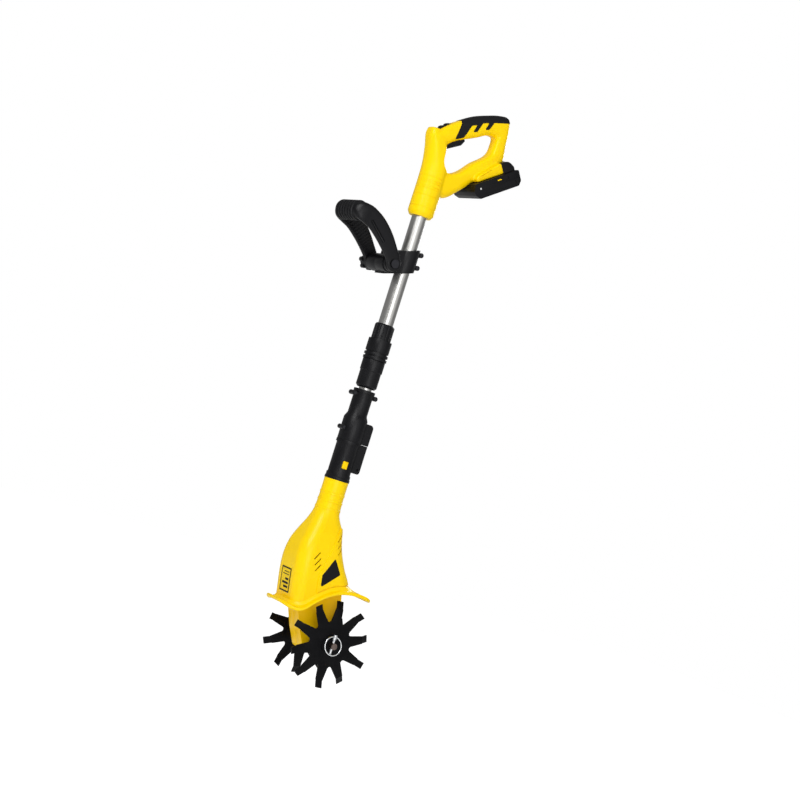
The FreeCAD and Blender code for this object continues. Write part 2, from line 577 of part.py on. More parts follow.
def star_knob():
    y0 = ARM_OUTER + BODY_GAP
    body = rod_y(KNOB_R - 4, y0, y0 + KNOB_THICK, PIVOT_X, PIVOT_Z)
    lobes = []
    for k in range(KNOB_LOBES):
        a = 2 * math.pi * k / KNOB_LOBES
        x, z = PIVOT_X + (KNOB_R - 4.5) * math.cos(a), PIVOT_Z + (KNOB_R - 4.5) * math.sin(a)
        lobes.append(rod_y(4.5, y0 + 2, y0 + KNOB_THICK - 1, x, z))
    return join(body, *lobes).cut(rod_y(BOLT_R + RUN_CLEAR, y0 - 1, y0 + KNOB_THICK + 1, PIVOT_X, PIVOT_Z))


# ---------------------------------------------------------------- coupler
def coupler_shells():
    low, high = COUPLER_Z
    body = join(rod_z(COUPLER_BODY_R, low, COUPLER_SHOULDER_Z[0]),
                cone_z(COUPLER_BODY_R, COUPLER_NECK_R, *COUPLER_SHOULDER_Z),
                rod_z(COUPLER_NECK_R, COUPLER_SHOULDER_Z[1], high),
                rod_z(COUPLER_FLANGE_R, high - COUPLER_FLANGE, high),
                rod_z(SPIGOT_R, SPIGOT_BOTTOM_Z, low))
    for x, z in COUPLER_EARS:
        side = 1 if x > POLE_X else -1
        reach = sorted((x, x - side * 8))
        body = join(body, rod_y(4.4, -9, 9, x, z), block(reach[0], reach[1], -8, 8, z - 3, z + 3))
    body = body.cut(rod_z(LOWER_TUBE_R + PRESS, LOWER_TUBE_Z[0], high + 1))
    body = body.cut(rod_z(LEAD_R + 2.5, SPIGOT_BOTTOM_Z - 1, LOWER_TUBE_Z[0] + 1))
    body = body.cut(block(BLOCK_PLUG_X, POLE_X + 60, -BLOCK_HALF, BLOCK_HALF, low, BLOCK_TOP_Z))
    for x, z in COUPLER_EARS:
        body = body.cut(rod_y(1.6, -8, 8, x, z)).cut(rod_y(3.0, -20, -7.0, x, z))
    return halves(body)


def coupler_screws():
    return Part.makeCompound([screw_y(x, z, -9.0, 7.5, 1.6, 2.9, 2.0) for x, z in COUPLER_EARS])


def connector_plug():
    corners = ((BLOCK_PLUG_X, COUPLER_Z[0], 0.5), (BLOCK_X, COUPLER_Z[0], 0.5), (BLOCK_X, BLOCK_TOP_Z, 7.0),
               (BLOCK_PLUG_X, BLOCK_TOP_Z, 0.5))
    return plate(corners, -BLOCK_HALF, BLOCK_HALF)


def connector_socket():
    outer = BLOCK_X - 1.2
    corners = ((BLOCK_PLUG_X, BLOCK_BOTTOM_Z, 0.5), (outer, BLOCK_BOTTOM_Z, 5.0), (outer, SOCKET_Z[1], 0.5),
               (BLOCK_PLUG_X, SOCKET_Z[1], 0.5))
    body = plate(corners, -BLOCK_HALF - SOCKET_GAP, BLOCK_HALF + SOCKET_GAP)
    return body.cut(rod_y(2.6, -BLOCK_HALF - 2, -BLOCK_HALF + 2, BLOCK_X - 8, BLOCK_BOTTOM_Z + 8))


def socket_shells():
    low, high = SOCKET_Z
    body = join(rod_z(COUPLER_SOCKET_R, low, high), rod_z(COUPLER_SOCKET_R + 1.5, low, low + 7),
                rod_z(COUPLER_BODY_R + 0.6, high - 5, high), rod_z(18.0, 250.0, low))
    body = body.cut(rod_z(SPIGOT_R + RUN_CLEAR, SPIGOT_BOTTOM_Z - 2, high + 1))
    body = body.cut(rod_z(LEAD_R + 2.5, 249.0, SPIGOT_BOTTOM_Z))
    half = BLOCK_HALF + SOCKET_GAP
    body = body.cut(block(BLOCK_PLUG_X, POLE_X + 60, -half, half, BLOCK_BOTTOM_Z, high + 1))
    body = body.cut(block(BUTTON_X - BUTTON_HALF_WIDTH - BODY_GAP, BUTTON_X + BUTTON_HALF_WIDTH + BODY_GAP,
                          -30, -BUTTON_FLOOR_Y, BUTTON_Z - BUTTON_HALF_HEIGHT - BODY_GAP,
                          BUTTON_Z + BUTTON_HALF_HEIGHT + BODY_GAP))
    return halves(body)


def release_button():
    inner_y = -BUTTON_FLOOR_Y - BUTTON_TRAVEL - 2.0
    return block(BUTTON_X - BUTTON_HALF_WIDTH, BUTTON_X + BUTTON_HALF_WIDTH, -COUPLER_SOCKET_R - 1.2, inner_y,
                 BUTTON_Z - BUTTON_HALF_HEIGHT, BUTTON_Z + BUTTON_HALF_HEIGHT)


def button_spring():
    """Coil shown as short as the pressed button leaves it."""
    return coil(3.0, 0.3, 0.8, BUTTON_SPRING, V(BUTTON_X, -BUTTON_FLOOR_Y - 0.4, BUTTON_Z), V(0, -1, 0))


def neck_ring():
    return tube_z(NECK_RING_R, 18.0 + 0.05, *NECK_RING_Z)


# ---------------------------------------------------------------- head
def below_guard():
    line = [(-160.0, GUARD_LINE[0][1])] + list(GUARD_LINE) + [(120.0, GUARD_LINE[-1][1])]
    return ribbon(line, 260.0, -120, 120)


def head_shells():
    body = loft(HEAD_SECTIONS).cut(loft(HEAD_SECTIONS, HEAD_WALL))
    body = body.cut(below_guard())
    for k in range(3):
        z = 232.0 + 14.0 * k
        ring = rod_z(23.2, z, z + 4).cut(rod_z(20.5, z, z + 4))
        body = body.fuse(ring)
    inside = loft(HEAD_SECTIONS, 0.6)
    for x, z in HEAD_SCREWS:
        post = rod_y(4.5, -60, 60, x, z).common(inside)
        body = body.fuse(post).cut(rod_y(1.7, -18, 18, x, z)).cut(rod_y(3.4, 18, 60, x, z))
    for slit in vent_slits():
        body = body.cut(slit)
    return halves(body)


def vent_slits():
    slits = []
    for x, z in VENT_CENTRES:
        bar = block(-9, 9, -60, 60, -1.0, 1.0)
        slits.append(on_slope(bar, (x, z), 57.0))
    return slits


def head_screws():
    return Part.makeCompound([screw_y(x, z, 20.4, -17.5, 1.65, 3.2, 2.4) for x, z in HEAD_SCREWS])


def guard():
    sheet = ribbon(GUARD_LINE, GUARD_THICK, -GUARD_HALF_WIDTH, GUARD_HALF_WIDTH)
    x0, x1, w = GUARD_LINE[0][0] + 1, GUARD_LINE[-1][0] - 1, GUARD_HALF_WIDTH - 0.5
    rear = GUARD_CORNER / 2
    corners = [(x0, -w, GUARD_CORNER), (x1, -w, rear), (x1, w, rear), (x0, w, GUARD_CORNER)]
    outline = rounded_wire(corners, "xy", -20.0)
    body = sheet.common(Part.Face(outline).extrude(V(0, 0, 200)))
    room = CASE_HALF + BODY_GAP
    return body.cut(block(CASE_CORNERS[1][0] - 1, CASE_CORNERS[6][0] - 8, -room, room, 0, 150))


PLATE_CORNERS = ((-37.0, 152.0, 2.0), (-19.0, 126.0, 2.0), (-51.0, 95.5, 2.0), (-55.0, 117.0, 2.0))


def side_plate(side):
    deep = loft(HEAD_SECTIONS, -1.0).cut(loft(HEAD_SECTIONS, -0.05))
    y0, y1 = sorted((side * 20, side * 60))
    return deep.common(plate(PLATE_CORNERS, y0, y1))


def label_plate():
    skin = loft(HEAD_SECTIONS, -0.9).cut(loft(HEAD_SECTIONS, -0.15))
    return skin.common(block(-130, -80, -22, 22, 71.0, 110.0))


# ---------------------------------------------------------------- drive
CASE_CORNERS = ((-76.0, CASE_TOP_Z, 2.0), (-76.0, 60.0, 4.0), (-66.0, 43.0, 8.0), (-50.0, 8.0, 10.0),
                (-31.0, -26.0, 12.0), (22.0, -28.0, 24.0), (28.0, 20.0, 24.0), (17.0, 72.0, 20.0),
                (10.0, 97.0, 6.0), (-21.0, CASE_TOP_Z, 3.0))


def train_points():
    t = math.radians(TRAIN_TILT)
    first = MODULE * (TEETH_FINAL + TEETH_IDLER) / 2
    second = MODULE * (TEETH_IDLER + TEETH_LAY) / 2
    idler = (-first * math.sin(t), first * math.cos(t))
    return idler, (idler[0] - second * math.sin(t), idler[1] + second * math.cos(t))


IDLER, LAY = train_points()
WHEEL_R = abs(POLE_X - LAY[0]) - WORM_R - BODY_GAP


def gear_case_halves():
    w = CASE_WALL
    body = plate(CASE_CORNERS, -CASE_HALF, CASE_HALF)
    body = body.cut(plate(inset(CASE_CORNERS, w), -CASE_HALF + w, CASE_HALF - w))
    for side in (-1, 1):
        y0, y1 = sorted((side * (CASE_HALF - w), side * (CASE_HALF + 4)))
        body = join(body, rod_y(15.0, y0, y1, 0, 0))
        i0, i1 = sorted((side * BOSS_REACH, side * (CASE_HALF - w)))
        body = join(body, rod_y(BOSS_R, i0, i1, *IDLER), rod_y(BOSS_R, i0, i1, *LAY))
    body = body.cut(rod_y(BUSH_R, -60, 60, 0, 0))
    body = body.cut(rod_y(PIN_R, -CASE_HALF + 1, CASE_HALF - 1, *IDLER))
    body = body.cut(rod_y(PIN_R + RUN_CLEAR, -CASE_HALF + 1, CASE_HALF - 1, *LAY))
    body = body.fuse(block(-74.0, -50.0, -CASE_HALF + 1, CASE_HALF - 1, 55.0, 60.5))
    body = body.cut(rod_z(PIN_R + RUN_CLEAR, 50.0, 61.0)).cut(rod_z(8.0, CASE_TOP_Z - 5, CASE_TOP_Z + 5))
    return halves(body)


def shaft_bushes():
    out = []
    for side in (-1, 1):
        y0, y1 = sorted((side * (CASE_HALF - CASE_WALL), side * (CASE_HALF + 4)))
        out.append(rod_y(BUSH_R, y0, y1, 0, 0).cut(rod_y(SHAFT_R + RUN_CLEAR, -60, 60, 0, 0)))
    return Part.makeCompound(out)


def idler_pin():
    return rod_y(PIN_R, -CASE_HALF + 1, CASE_HALF - 1, *IDLER)


def final_gear():
    angle = math.atan2(IDLER[1], IDLER[0])
    reach = CASE_HALF - CASE_WALL - BODY_GAP
    body = join(gear(TEETH_FINAL, 0, 0, *GEAR_Y, SHAFT_R, angle), rod_y(10.0, -reach, reach, 0, 0))
    return body.cut(rod_y(SHAFT_R + PRESS, -60, 60, 0, 0))


def idler_gear():
    to_final = math.atan2(-IDLER[1], -IDLER[0])
    phase = to_final + math.pi / TEETH_IDLER
    reach = BOSS_REACH - BODY_GAP
    teeth = gear(TEETH_IDLER, *IDLER, *GEAR_Y, PIN_R + RUN_CLEAR, phase)
    body = join(teeth, rod_y(BOSS_R, -reach, reach, *IDLER))
    return body.cut(rod_y(PIN_R + RUN_CLEAR, -60, 60, *IDLER))


def layshaft_gear():
    """Pinion, toothed worm wheel and shaft in one piece."""
    to_idler = math.atan2(IDLER[1] - LAY[1], IDLER[0] - LAY[0])
    turn = to_idler + math.pi
    idler_phase = math.atan2(-IDLER[1], -IDLER[0]) + math.pi / TEETH_IDLER
    # angle from the idler's nearest tooth to the line of centres, carried over to the pinion
    step = 2 * math.pi / TEETH_IDLER
    offset = (turn - idler_phase + step / 2) % step - step / 2
    phase = to_idler + offset * TEETH_IDLER / TEETH_LAY + math.pi / TEETH_LAY
    pinion = gear(TEETH_LAY, *LAY, *GEAR_Y, PIN_R - 1, phase)
    points = []
    for k in range(WORM_WHEEL_TEETH * 2):
        r = WHEEL_R if k % 2 else WHEEL_R - 2.0
        a = math.pi * k / WORM_WHEEL_TEETH
        points.append(V(LAY[0] + r * math.cos(a), WORM_WHEEL_Y[0], LAY[1] + r * math.sin(a)))
    width = WORM_WHEEL_Y[1] - WORM_WHEEL_Y[0]
    wheel = Part.Face(Part.makePolygon(points + points[:1])).extrude(V(0, width, 0))
    boss = rod_y(BOSS_R, -BOSS_REACH + BODY_GAP, BOSS_REACH - BODY_GAP, *LAY)
    return join(pinion, wheel, boss, rod_y(PIN_R, -CASE_HALF + 1.5, CASE_HALF - 1.5, *LAY))


def motor_can():
    base = CASE_TOP_Z
    can = rod_z(MOTOR_R, base, base + MOTOR_LENGTH)
    can = can.cut(rod_z(MOTOR_R - MOTOR_WALL, base + 2, base + MOTOR_LENGTH - 2))
    return can.cut(rod_z(PIN_R + RUN_CLEAR, base - 1, base + MOTOR_LENGTH + 1))


def motor_shaft():
    base = CASE_TOP_Z
    top = base + MOTOR_LENGTH + 4
    shaft = rod_z(PIN_R, 56.0, top)
    rotor = rod_z(MOTOR_R - 4.0, base + 8, base + MOTOR_LENGTH - 8)
    worm = rod_z(WORM_R, LAY[1] - 12, LAY[1] + 12)
    return join(shaft, rotor, worm)


# ---------------------------------------------------------------- tines
def tine_shaft():
    body = rod_y(SHAFT_R, -SHAFT_HALF, SHAFT_HALF, 0, 0)
    for side in (-1, 1):
        body = body.cut(rod_z(LINCH_R + 0.1, -20, 20, 0.0, side * LINCH_Y))
    return body


def tine_wheel(side, phase):
    """Star of flat steel tines whose tips are bent alternately outwards and inwards."""
    y = side * WHEEL_Y
    half = TINE_STEEL / 2
    body = rod_y(TINE_VALLEY_R + 2.0, y - half, y + half, 0, 0)
    step = 2 * math.pi / TINE_COUNT
    for k in range(TINE_COUNT):
        bend = side * (1 if k % 2 else -1)
        root, root_half, neck_half = TINE_VALLEY_R - 8, TINE_ROOT_HALF + 2, TINE_TIP_HALF + 0.6
        blank = [V(root, y - half, -root_half), V(TINE_BEND_START_R, y - half, -neck_half),
                 V(TINE_BEND_START_R, y - half, neck_half), V(root, y - half, root_half)]
        flat = Part.Face(Part.makePolygon(blank + blank[:1])).extrude(V(0, TINE_STEEL, 0))
        r0, r1, dy = TINE_BEND_START_R - 0.5, TINE_TIP_R, bend * TINE_BEND
        side_view = [V(r0, y - half, -TINE_TIP_HALF), V(r1, y - half + dy, -TINE_TIP_HALF),
                     V(r1, y + half + dy, -TINE_TIP_HALF), V(r0, y + half, -TINE_TIP_HALF)]
        tip = Part.Face(Part.makePolygon(side_view + side_view[:1])).extrude(V(0, 0, 2 * TINE_TIP_HALF))
        tine = flat.fuse(tip)
        tine.rotate(V(0, 0, 0), V(0, 1, 0), -math.degrees(phase + k * step))
        body = body.fuse(tine)
    valleys = []
    for k in range(TINE_COUNT):
        a = phase + (k + 0.5) * step
        r = TINE_VALLEY_R + 4.4
        valleys.append(rod_y(4.4, y - 10, y + 10, r * math.cos(a), r * math.sin(a)))
    body = body.cut(valleys)
    hub0, hub1 = sorted((side * (CASE_HALF + 4 + BODY_GAP), side * (LINCH_Y - LINCH_R - BODY_GAP)))
    flange0, flange1 = sorted((side * (WHEEL_Y - 6), side * (WHEEL_Y + 4)))
    body = join(body, rod_y(HUB_TUBE_R, hub0, hub1, 0, 0), rod_y(HUB_R, flange0, flange1, 0, 0))
    return body.cut(rod_y(SHAFT_R + PRESS, -90, 90, 0, 0))


def linch_pins():
    pins = []
    for side in (-1, 1):
        y = side * LINCH_Y
        pin = join(rod_z(LINCH_R, -16.0, 18.0, 0.0, y), rod_z(3.6, 12.0, 20.5, 0.0, y))
        pins.append(pin.cut(rod_x(LINCH_WIRE_R + 0.6, -10, 10, y, LINCH_RING_R - 0.2)))
    return Part.makeCompound(pins)


def linch_ring(side):
    ring = Part.makeTorus(LINCH_RING_R, LINCH_WIRE_R, V(0, 0, -LINCH_RING_R), V(0, 1, 0))
    ring.rotate(V(0, 0, 0), V(1, 0, 0), side * RING_LEAN)
    ring.translate(V(0, side * LINCH_Y, LINCH_RING_R))
    return ring


# ---------------------------------------------------------------- assembly
def build():
    parts = {}
    parts["handle_shell_left"], parts["handle_shell_right"] = handle_shells()
    parts["grip_pad"] = grip_pad()
    parts["handle_screws"] = handle_screws()
    parts["trigger"] = trigger()
    parts["trigger_pin"] = rod_y(TRIGGER_PIN_R, -13.0, 13.0, TRIGGER_PIN_X, TRIGGER_PIN_Z)
    parts["trigger_switch"] = trigger_switch()
    parts["lock_off_button"] = lock_off_button()
    parts["battery_terminal_block"] = terminal_block()
    parts["battery_lower_case"] = battery_lower_case()
    parts["battery_upper_case"] = battery_upper_case()
    parts["battery_latch"] = battery_latch()
    parts["battery_cells"] = battery_cells()
    parts["upper_tube"] = upper_tube()
    parts["lower_tube"] = lower_tube()
    parts["tube_end_bush"] = tube_end_bush()
    parts["coiled_lead"] = coiled_lead()
    parts["lock_body"] = lock_body()
    parts["lock_collet"] = lock_collet()
    parts["lock_twist_sleeve"] = lock_twist_sleeve()
    parts["clamp_left"], parts["clamp_right"] = clamp_halves()
    parts["clamp_screws"] = clamp_screws()
    parts["aux_loop"] = aux_loop()
    parts["pivot_bolt"] = pivot_bolt()
    parts["star_knob"] = star_knob()
    parts["coupler_shell_left"], parts["coupler_shell_right"] = coupler_shells()
    parts["coupler_screws"] = coupler_screws()
    parts["connector_plug"] = connector_plug()
    parts["connector_socket"] = connector_socket()
    parts["socket_shell_left"], parts["socket_shell_right"] = socket_shells()
    parts["release_button"] = release_button()
    parts["button_spring"] = button_spring()
    parts["neck_ring"] = neck_ring()
    parts["head_shell_left"], parts["head_shell_right"] = head_shells()
    parts["head_screws"] = head_screws()
    parts["guard"] = guard()
    parts["side_plate_left"], parts["side_plate_right"] = side_plate(-1), side_plate(1)
    parts["label_plate"] = label_plate()
    parts["gear_case_left"], parts["gear_case_right"] = gear_case_halves()
    parts["shaft_bushes"] = shaft_bushes()
    parts["idler_pin"] = idler_pin()
    parts["final_gear"] = final_gear()
    parts["idler_gear"] = idler_gear()
    parts["layshaft_gear"] = layshaft_gear()
    parts["motor_can"] = motor_can()
    parts["motor_shaft"] = motor_shaft()
    parts["tine_shaft"] = tine_shaft()
    parts["tine_wheel_left"] = tine_wheel(-1, math.radians(18.9))
    parts["tine_wheel_right"] = tine_wheel(1, math.radians(26.0))
    parts["linch_pins"] = linch_pins()
    parts["linch_ring_left"], parts["linch_ring_right"] = linch_ring(-1), linch_ring(1)
    return parts


os.makedirs("parts", exist_ok=True)
for name, shape in build().items():
    solids = shape.Solids
    print(name, len(solids), round(shape.Volume), "valid" if shape.isValid() else "INVALID")
    shape.exportStep(os.path.join("parts", name + ".step"))
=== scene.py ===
"""Looks of a cordless garden tiller: finishes, small mouldings and the studio it stands in."""
import json
import math

import bmesh
import bpy
from mathutils import Euler, Matrix, Vector


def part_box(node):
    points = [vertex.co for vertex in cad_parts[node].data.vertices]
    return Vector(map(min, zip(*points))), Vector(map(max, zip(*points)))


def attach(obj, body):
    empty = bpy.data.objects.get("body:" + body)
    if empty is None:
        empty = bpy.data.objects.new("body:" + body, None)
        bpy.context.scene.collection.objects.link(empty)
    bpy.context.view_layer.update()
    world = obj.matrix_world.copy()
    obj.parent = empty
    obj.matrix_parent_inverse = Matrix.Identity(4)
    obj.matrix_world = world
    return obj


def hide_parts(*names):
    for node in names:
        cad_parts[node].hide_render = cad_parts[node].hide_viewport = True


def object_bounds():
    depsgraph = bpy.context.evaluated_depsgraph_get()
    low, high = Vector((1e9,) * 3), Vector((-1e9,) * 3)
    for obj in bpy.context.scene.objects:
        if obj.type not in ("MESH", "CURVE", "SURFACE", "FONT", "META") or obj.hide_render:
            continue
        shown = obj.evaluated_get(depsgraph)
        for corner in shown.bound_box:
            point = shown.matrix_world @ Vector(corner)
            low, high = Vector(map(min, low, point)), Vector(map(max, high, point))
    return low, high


bl_info = {
    "name": "Garden Tiller",
    "version": (1, 0, 0),
    "blender": (4, 5, 0),
    "location": "View3D > Sidebar > Tiller",
    "description": "Dresses the frame of a cordless garden tiller in its real shapes and finishes",
    "category": "Object",
}

MM = 0.001
SIDES = ((-1, "left"), (1, "right"))
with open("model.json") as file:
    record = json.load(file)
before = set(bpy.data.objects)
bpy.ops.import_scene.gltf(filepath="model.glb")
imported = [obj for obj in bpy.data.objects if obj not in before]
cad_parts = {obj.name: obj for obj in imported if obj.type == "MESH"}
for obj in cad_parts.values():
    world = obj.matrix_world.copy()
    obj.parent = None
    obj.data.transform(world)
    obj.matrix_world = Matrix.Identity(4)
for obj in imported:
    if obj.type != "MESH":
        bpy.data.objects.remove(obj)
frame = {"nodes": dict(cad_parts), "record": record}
NODES = frame["nodes"]
CAD_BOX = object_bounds()


def middle(node):
    """Centre of a node's box."""
    low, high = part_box(node)
    return (low + high) / 2


POLE_X = middle("upper_tube").x


# ---------------------------------------------------------------- what a user would change
def tint(name, description, default):
    """A property that holds an sRGB hex colour."""
    return bpy.props.StringProperty(name=name, description=description, default=default)


class TillerColours(bpy.types.PropertyGroup):
    """Colours of the finishes, as sRGB hex."""
    abs_yellow: tint("Yellow", "Moulded housings", "#FFD400")
    abs_orange: tint("Deep yellow", "Trigger and button", "#FFD000")
    nylon_black: tint("Nylon", "Clamps, locks and couplers", "#0C0C0F")
    abs_black: tint("Black ABS", "Battery case and side plates", "#0C0C0F")
    grip_black: tint("Grip", "Soft overmoulded pads", "#0D0D10")
    tube_silver: tint("Tube", "Anodised pole tubes", "#BFBEBB")
    tine_black: tint("Tines", "Powder coat of the tines", "#0A0A0C")
    paper: tint("Studio", "Floor of the studio", "#FFFFFF")


class TillerSizes(bpy.types.PropertyGroup):
    """Sizes of the details that the looks add."""
    lens: bpy.props.FloatProperty(name="Lens", description="Focal length of the camera, in mm", default=76.5,
                                  min=1.0, unit="CAMERA")


CAMERA_AT = Vector((-1.6084, -2.7014, 0.3391))
CAMERA_TURN = (math.radians(92.375), math.radians(-17.416), math.radians(-31.778))


# ---------------------------------------------------------------- materials
def linear(colour):
    """Linear RGBA of an sRGB hex colour."""
    parts = [int(colour[i:i + 2], 16) / 255 for i in (1, 3, 5)]
    return [p / 12.92 if p <= 0.04045 else ((p + 0.055) / 1.055) ** 2.4 for p in parts] + [1.0]


def add(tree, kind, sockets=None, **settings):
    """Adds a node. Each socket, by name or number, gets a value, or a link where it is given an output."""
    node = tree.nodes.new("ShaderNode" + kind)
    for name, value in settings.items():
        setattr(node, name, value)
    for name, value in (sockets or {}).items():
        if isinstance(value, bpy.types.NodeSocket):
            tree.links.new(value, node.inputs[name])
        else:
            node.inputs[name].default_value = value
    return node


def emptied(holder):
    """The node tree of a material or world, cleared."""
    holder.use_nodes = True
    holder.node_tree.nodes.clear()
    return holder.node_tree


def new_material(name):
    """An empty material, its tree and the object's own coordinates."""
    material = bpy.data.materials.new(name)
    tree = emptied(material)
    return material, tree, add(tree, "TexCoord").outputs["Object"]


def per_mm(size):
    """Scale of a texture whose features are that many millimetres."""
    return 1.0 / (size * MM)


def noise(tree, place, size, detail=2.0):
    """A cloudy value with features of a size in millimetres."""
    texture = add(tree, "TexNoise", {"Vector": place, "Scale": per_mm(size), "Detail": detail})
    return texture.outputs["Fac"]


def cells(tree, place, size):
    """A value that rises from the middle of each of many cells of a size in millimetres."""
    texture = add(tree, "TexVoronoi", {"Vector": place, "Scale": per_mm(size)}, feature="SMOOTH_F1")
    return texture.outputs["Distance"]


def tinted(colour, factor):
    """A linear colour made darker or lighter."""
    return [min(c * factor, 1.0) for c in colour[:3]] + [1.0]


def finish(material, tree, colour, tone, rough, height, depth, **sockets):
    """Ends a material. Its brightness and its roughness each follow a value from one end to another, its bump
    follows a height with a depth in millimetres, and the other values go straight to the shader."""
    base = linear(colour)
    value, dark, light = tone
    shade = add(tree, "Mix", {0: value, 6: tinted(base, dark), 7: tinted(base, light)}, data_type="RGBA")
    value, low, high = rough
    spread = add(tree, "MapRange", {"Value": value, "To Min": low, "To Max": high})
    bump = add(tree, "Bump", {"Height": height, "Distance": depth * MM, "Strength": 1.0})
    values = {"Base Color": shade.outputs[2], "Roughness": spread.outputs["Result"],
              "Normal": bump.outputs["Normal"]}
    values.update({name.replace("_", " "): value for name, value in sockets.items()})
    shader = add(tree, "BsdfPrincipled", values)
    add(tree, "OutputMaterial", {"Surface": shader.outputs["BSDF"]})
    return material


def moulded_abs(name, colour, roughness=0.26):
    """Injection-moulded ABS: a glossy skin with the faint orange peel and flow shading of the mould."""
    material, tree, place = new_material(name)
    flow = noise(tree, place, 45.0)
    peel = noise(tree, place, 1.4, 1.0)
    return finish(material, tree, colour, (flow, 0.95, 1.04), (flow, roughness - 0.05, roughness + 0.06),
                  peel, 0.012, IOR=1.53, Specular_IOR_Level=0.16)


def textured_nylon(name, colour, roughness=0.36):
    """Glass-filled nylon from a spark-eroded mould: a fine even grain that breaks up the highlight.
    The real grain is 0.2 mm and is drawn at 0.6 mm, or it wouldn't show."""
    material, tree, place = new_material(name)
    grain = cells(tree, place, 0.6)
    cloud = noise(tree, place, 20.0, 3.0)
    return finish(material, tree, colour, (cloud, 0.8, 1.25), (cloud, roughness - 0.07, roughness + 0.09),
                  grain, 0.02, IOR=1.53, Specular_IOR_Level=0.2)


def soft_rubber(name, colour):
    """Thermoplastic elastomer, overmoulded: matt, with a stippled skin and a soft sheen."""
    material, tree, place = new_material(name)
    stipple = cells(tree, place, 0.9)
    cloud = noise(tree, place, 12.0, 3.0)
    return finish(material, tree, colour, (cloud, 0.8, 1.3), (cloud, 0.55, 0.72), stipple, 0.06,
                  IOR=1.5, Specular_IOR_Level=0.25)


def drawn_aluminium(name, colour):
    """Drawn and satin-anodised aluminium tube: fine draw lines run along it and stretch the highlight."""
    material, tree, place = new_material(name)
    along_tube = add(tree, "Mapping", {"Vector": place, "Scale": (1.0, 1.0, 0.012)}).outputs[0]
    lines = noise(tree, along_tube, 0.9, 3.0)
    cloud = noise(tree, place, 30.0)
    return finish(material, tree, colour, (lines, 0.86, 1.08), (cloud, 0.24, 0.34), lines, 0.006,
                  Metallic=1.0)


def powder_coat(name, colour):
    """Baked powder coat on pressed steel: satin black with a soft orange peel and patches of dust."""
    material, tree, place = new_material(name)
    peel = noise(tree, place, 1.8)
    cloud = noise(tree, place, 14.0, 4.0)
    return finish(material, tree, colour, (cloud, 0.7, 1.6), (cloud, 0.30, 0.46), peel, 0.05,
                  IOR=1.5, Specular_IOR_Level=0.08)


def turned_steel(name, colour, roughness=0.32):
    """Turned steel: tool marks ring the axis of the axle."""
    material, tree, place = new_material(name)
    rings = add(tree, "TexWave", {"Vector": place, "Scale": per_mm(0.5) / 20, "Distortion": 0.4},
                wave_type="BANDS", bands_direction="Y")
    cloud = noise(tree, place, 6.0, 3.0)
    return finish(material, tree, colour, (cloud, 0.72, 1.2), (cloud, roughness - 0.08, roughness + 0.12),
                  rings.outputs["Fac"], 0.01, Metallic=1.0)


def zinc_plate(name, colour):
    """Bright zinc plating on spring wire: mirror-like, with the cloudy bloom of passivation."""
    material, tree, place = new_material(name)
    bloom = noise(tree, place, 3.0, 4.0)
    return finish(material, tree, colour, (bloom, 0.8, 1.1), (bloom, 0.14, 0.30), bloom, 0.008,
                  Metallic=1.0)


def printed_film(name, colour):
    """Printed polyester film: flat and satin, with a faint emboss."""
    material, tree, place = new_material(name)
    weave = noise(tree, place, 0.7, 1.0)
    return finish(material, tree, colour, (weave, 0.96, 1.03), (weave, 0.34, 0.42), weave, 0.01,
                  Specular_IOR_Level=0.12)


MATERIALS = {}


def make_materials(colours):
    """Makes every finish, under the name that pieces and nodes ask for."""
    MATERIALS.update(
        yellow_abs=moulded_abs("moulded_abs_yellow", colours.abs_yellow),
        # The gear case's yellow is a deeper copy of the housing's: the deeper tone is painted shade of the
        # case, which sits in shade under the guard; its rougher finish is its own.
        yellow_case=moulded_abs("moulded_abs_case_shaded", "#FFCC00", 0.34),
        deep_yellow=moulded_abs("moulded_abs_deep_yellow", colours.abs_orange, 0.3),
        black_gloss=moulded_abs("moulded_abs_black", colours.abs_black, 0.3),
        black_nylon=textured_nylon("glass_filled_nylon", colours.nylon_black),
        switch_plastic=textured_nylon("switch_nylon", "#33343A", 0.5),
        soft_grip=soft_rubber("overmoulded_elastomer", colours.grip_black),
        lead_pvc=soft_rubber("pvc_sheath", "#1B1B1C"),
        tube_aluminium=drawn_aluminium("satin_anodised_aluminium", colours.tube_silver),
        tine_steel=powder_coat("black_powder_coat", colours.tine_black),
        shaft_steel=turned_steel("turned_steel", "#7A6C66"),
        screw_steel=turned_steel("black_oxide_steel", "#3A3A3E", 0.36),
        gear_steel=turned_steel("machined_steel", "#9A9A9E", 0.3),
        bronze_bush=turned_steel("sintered_bronze", "#B08A55", 0.42),
        zinc_wire=zinc_plate("bright_zinc_plate", "#F0F2F4"),
        cell_wrap=printed_film("shrink_sleeve", "#2A6FB0"),
        label_film=printed_film("printed_film", "#F0CC12"),
        label_ink=printed_film("printed_ink", "#08080A"),
        # White of the small dome on each side of the pack: a painted highlight.
        white_dot=printed_film("painted_glint_white", "#E8E8E8"),
    )


def dress(node_name, material):
    """Gives a frame node its finish."""
    mesh = NODES[node_name].data
    mesh.materials.clear()
    mesh.materials.append(material)


# ---------------------------------------------------------------- shaping
SHARP = math.radians(34.0)


def mm(x, y, z):
    """A point given in millimetres."""
    return Vector((x, y, z)) * MM


def put(shape, name):
    """An object made from a bmesh, which is used up."""
    mesh = bpy.data.meshes.new(name)
    shape.to_mesh(mesh)
    shape.free()
    made = bpy.data.objects.new(name, mesh)
    bpy.context.scene.collection.objects.link(made)
    return made


def modified(shape, kind, **settings):
    """A bmesh after one modifier."""
    made = put(shape, "work")
    modifier = made.modifiers.new("work", kind)
    for name, value in settings.items():
        setattr(modifier, name, value)
    bpy.context.view_layer.update()
    graph = bpy.context.evaluated_depsgraph_get()
    out = bmesh.new()
    out.from_object(made, graph)
    bpy.data.objects.remove(made)
    return out


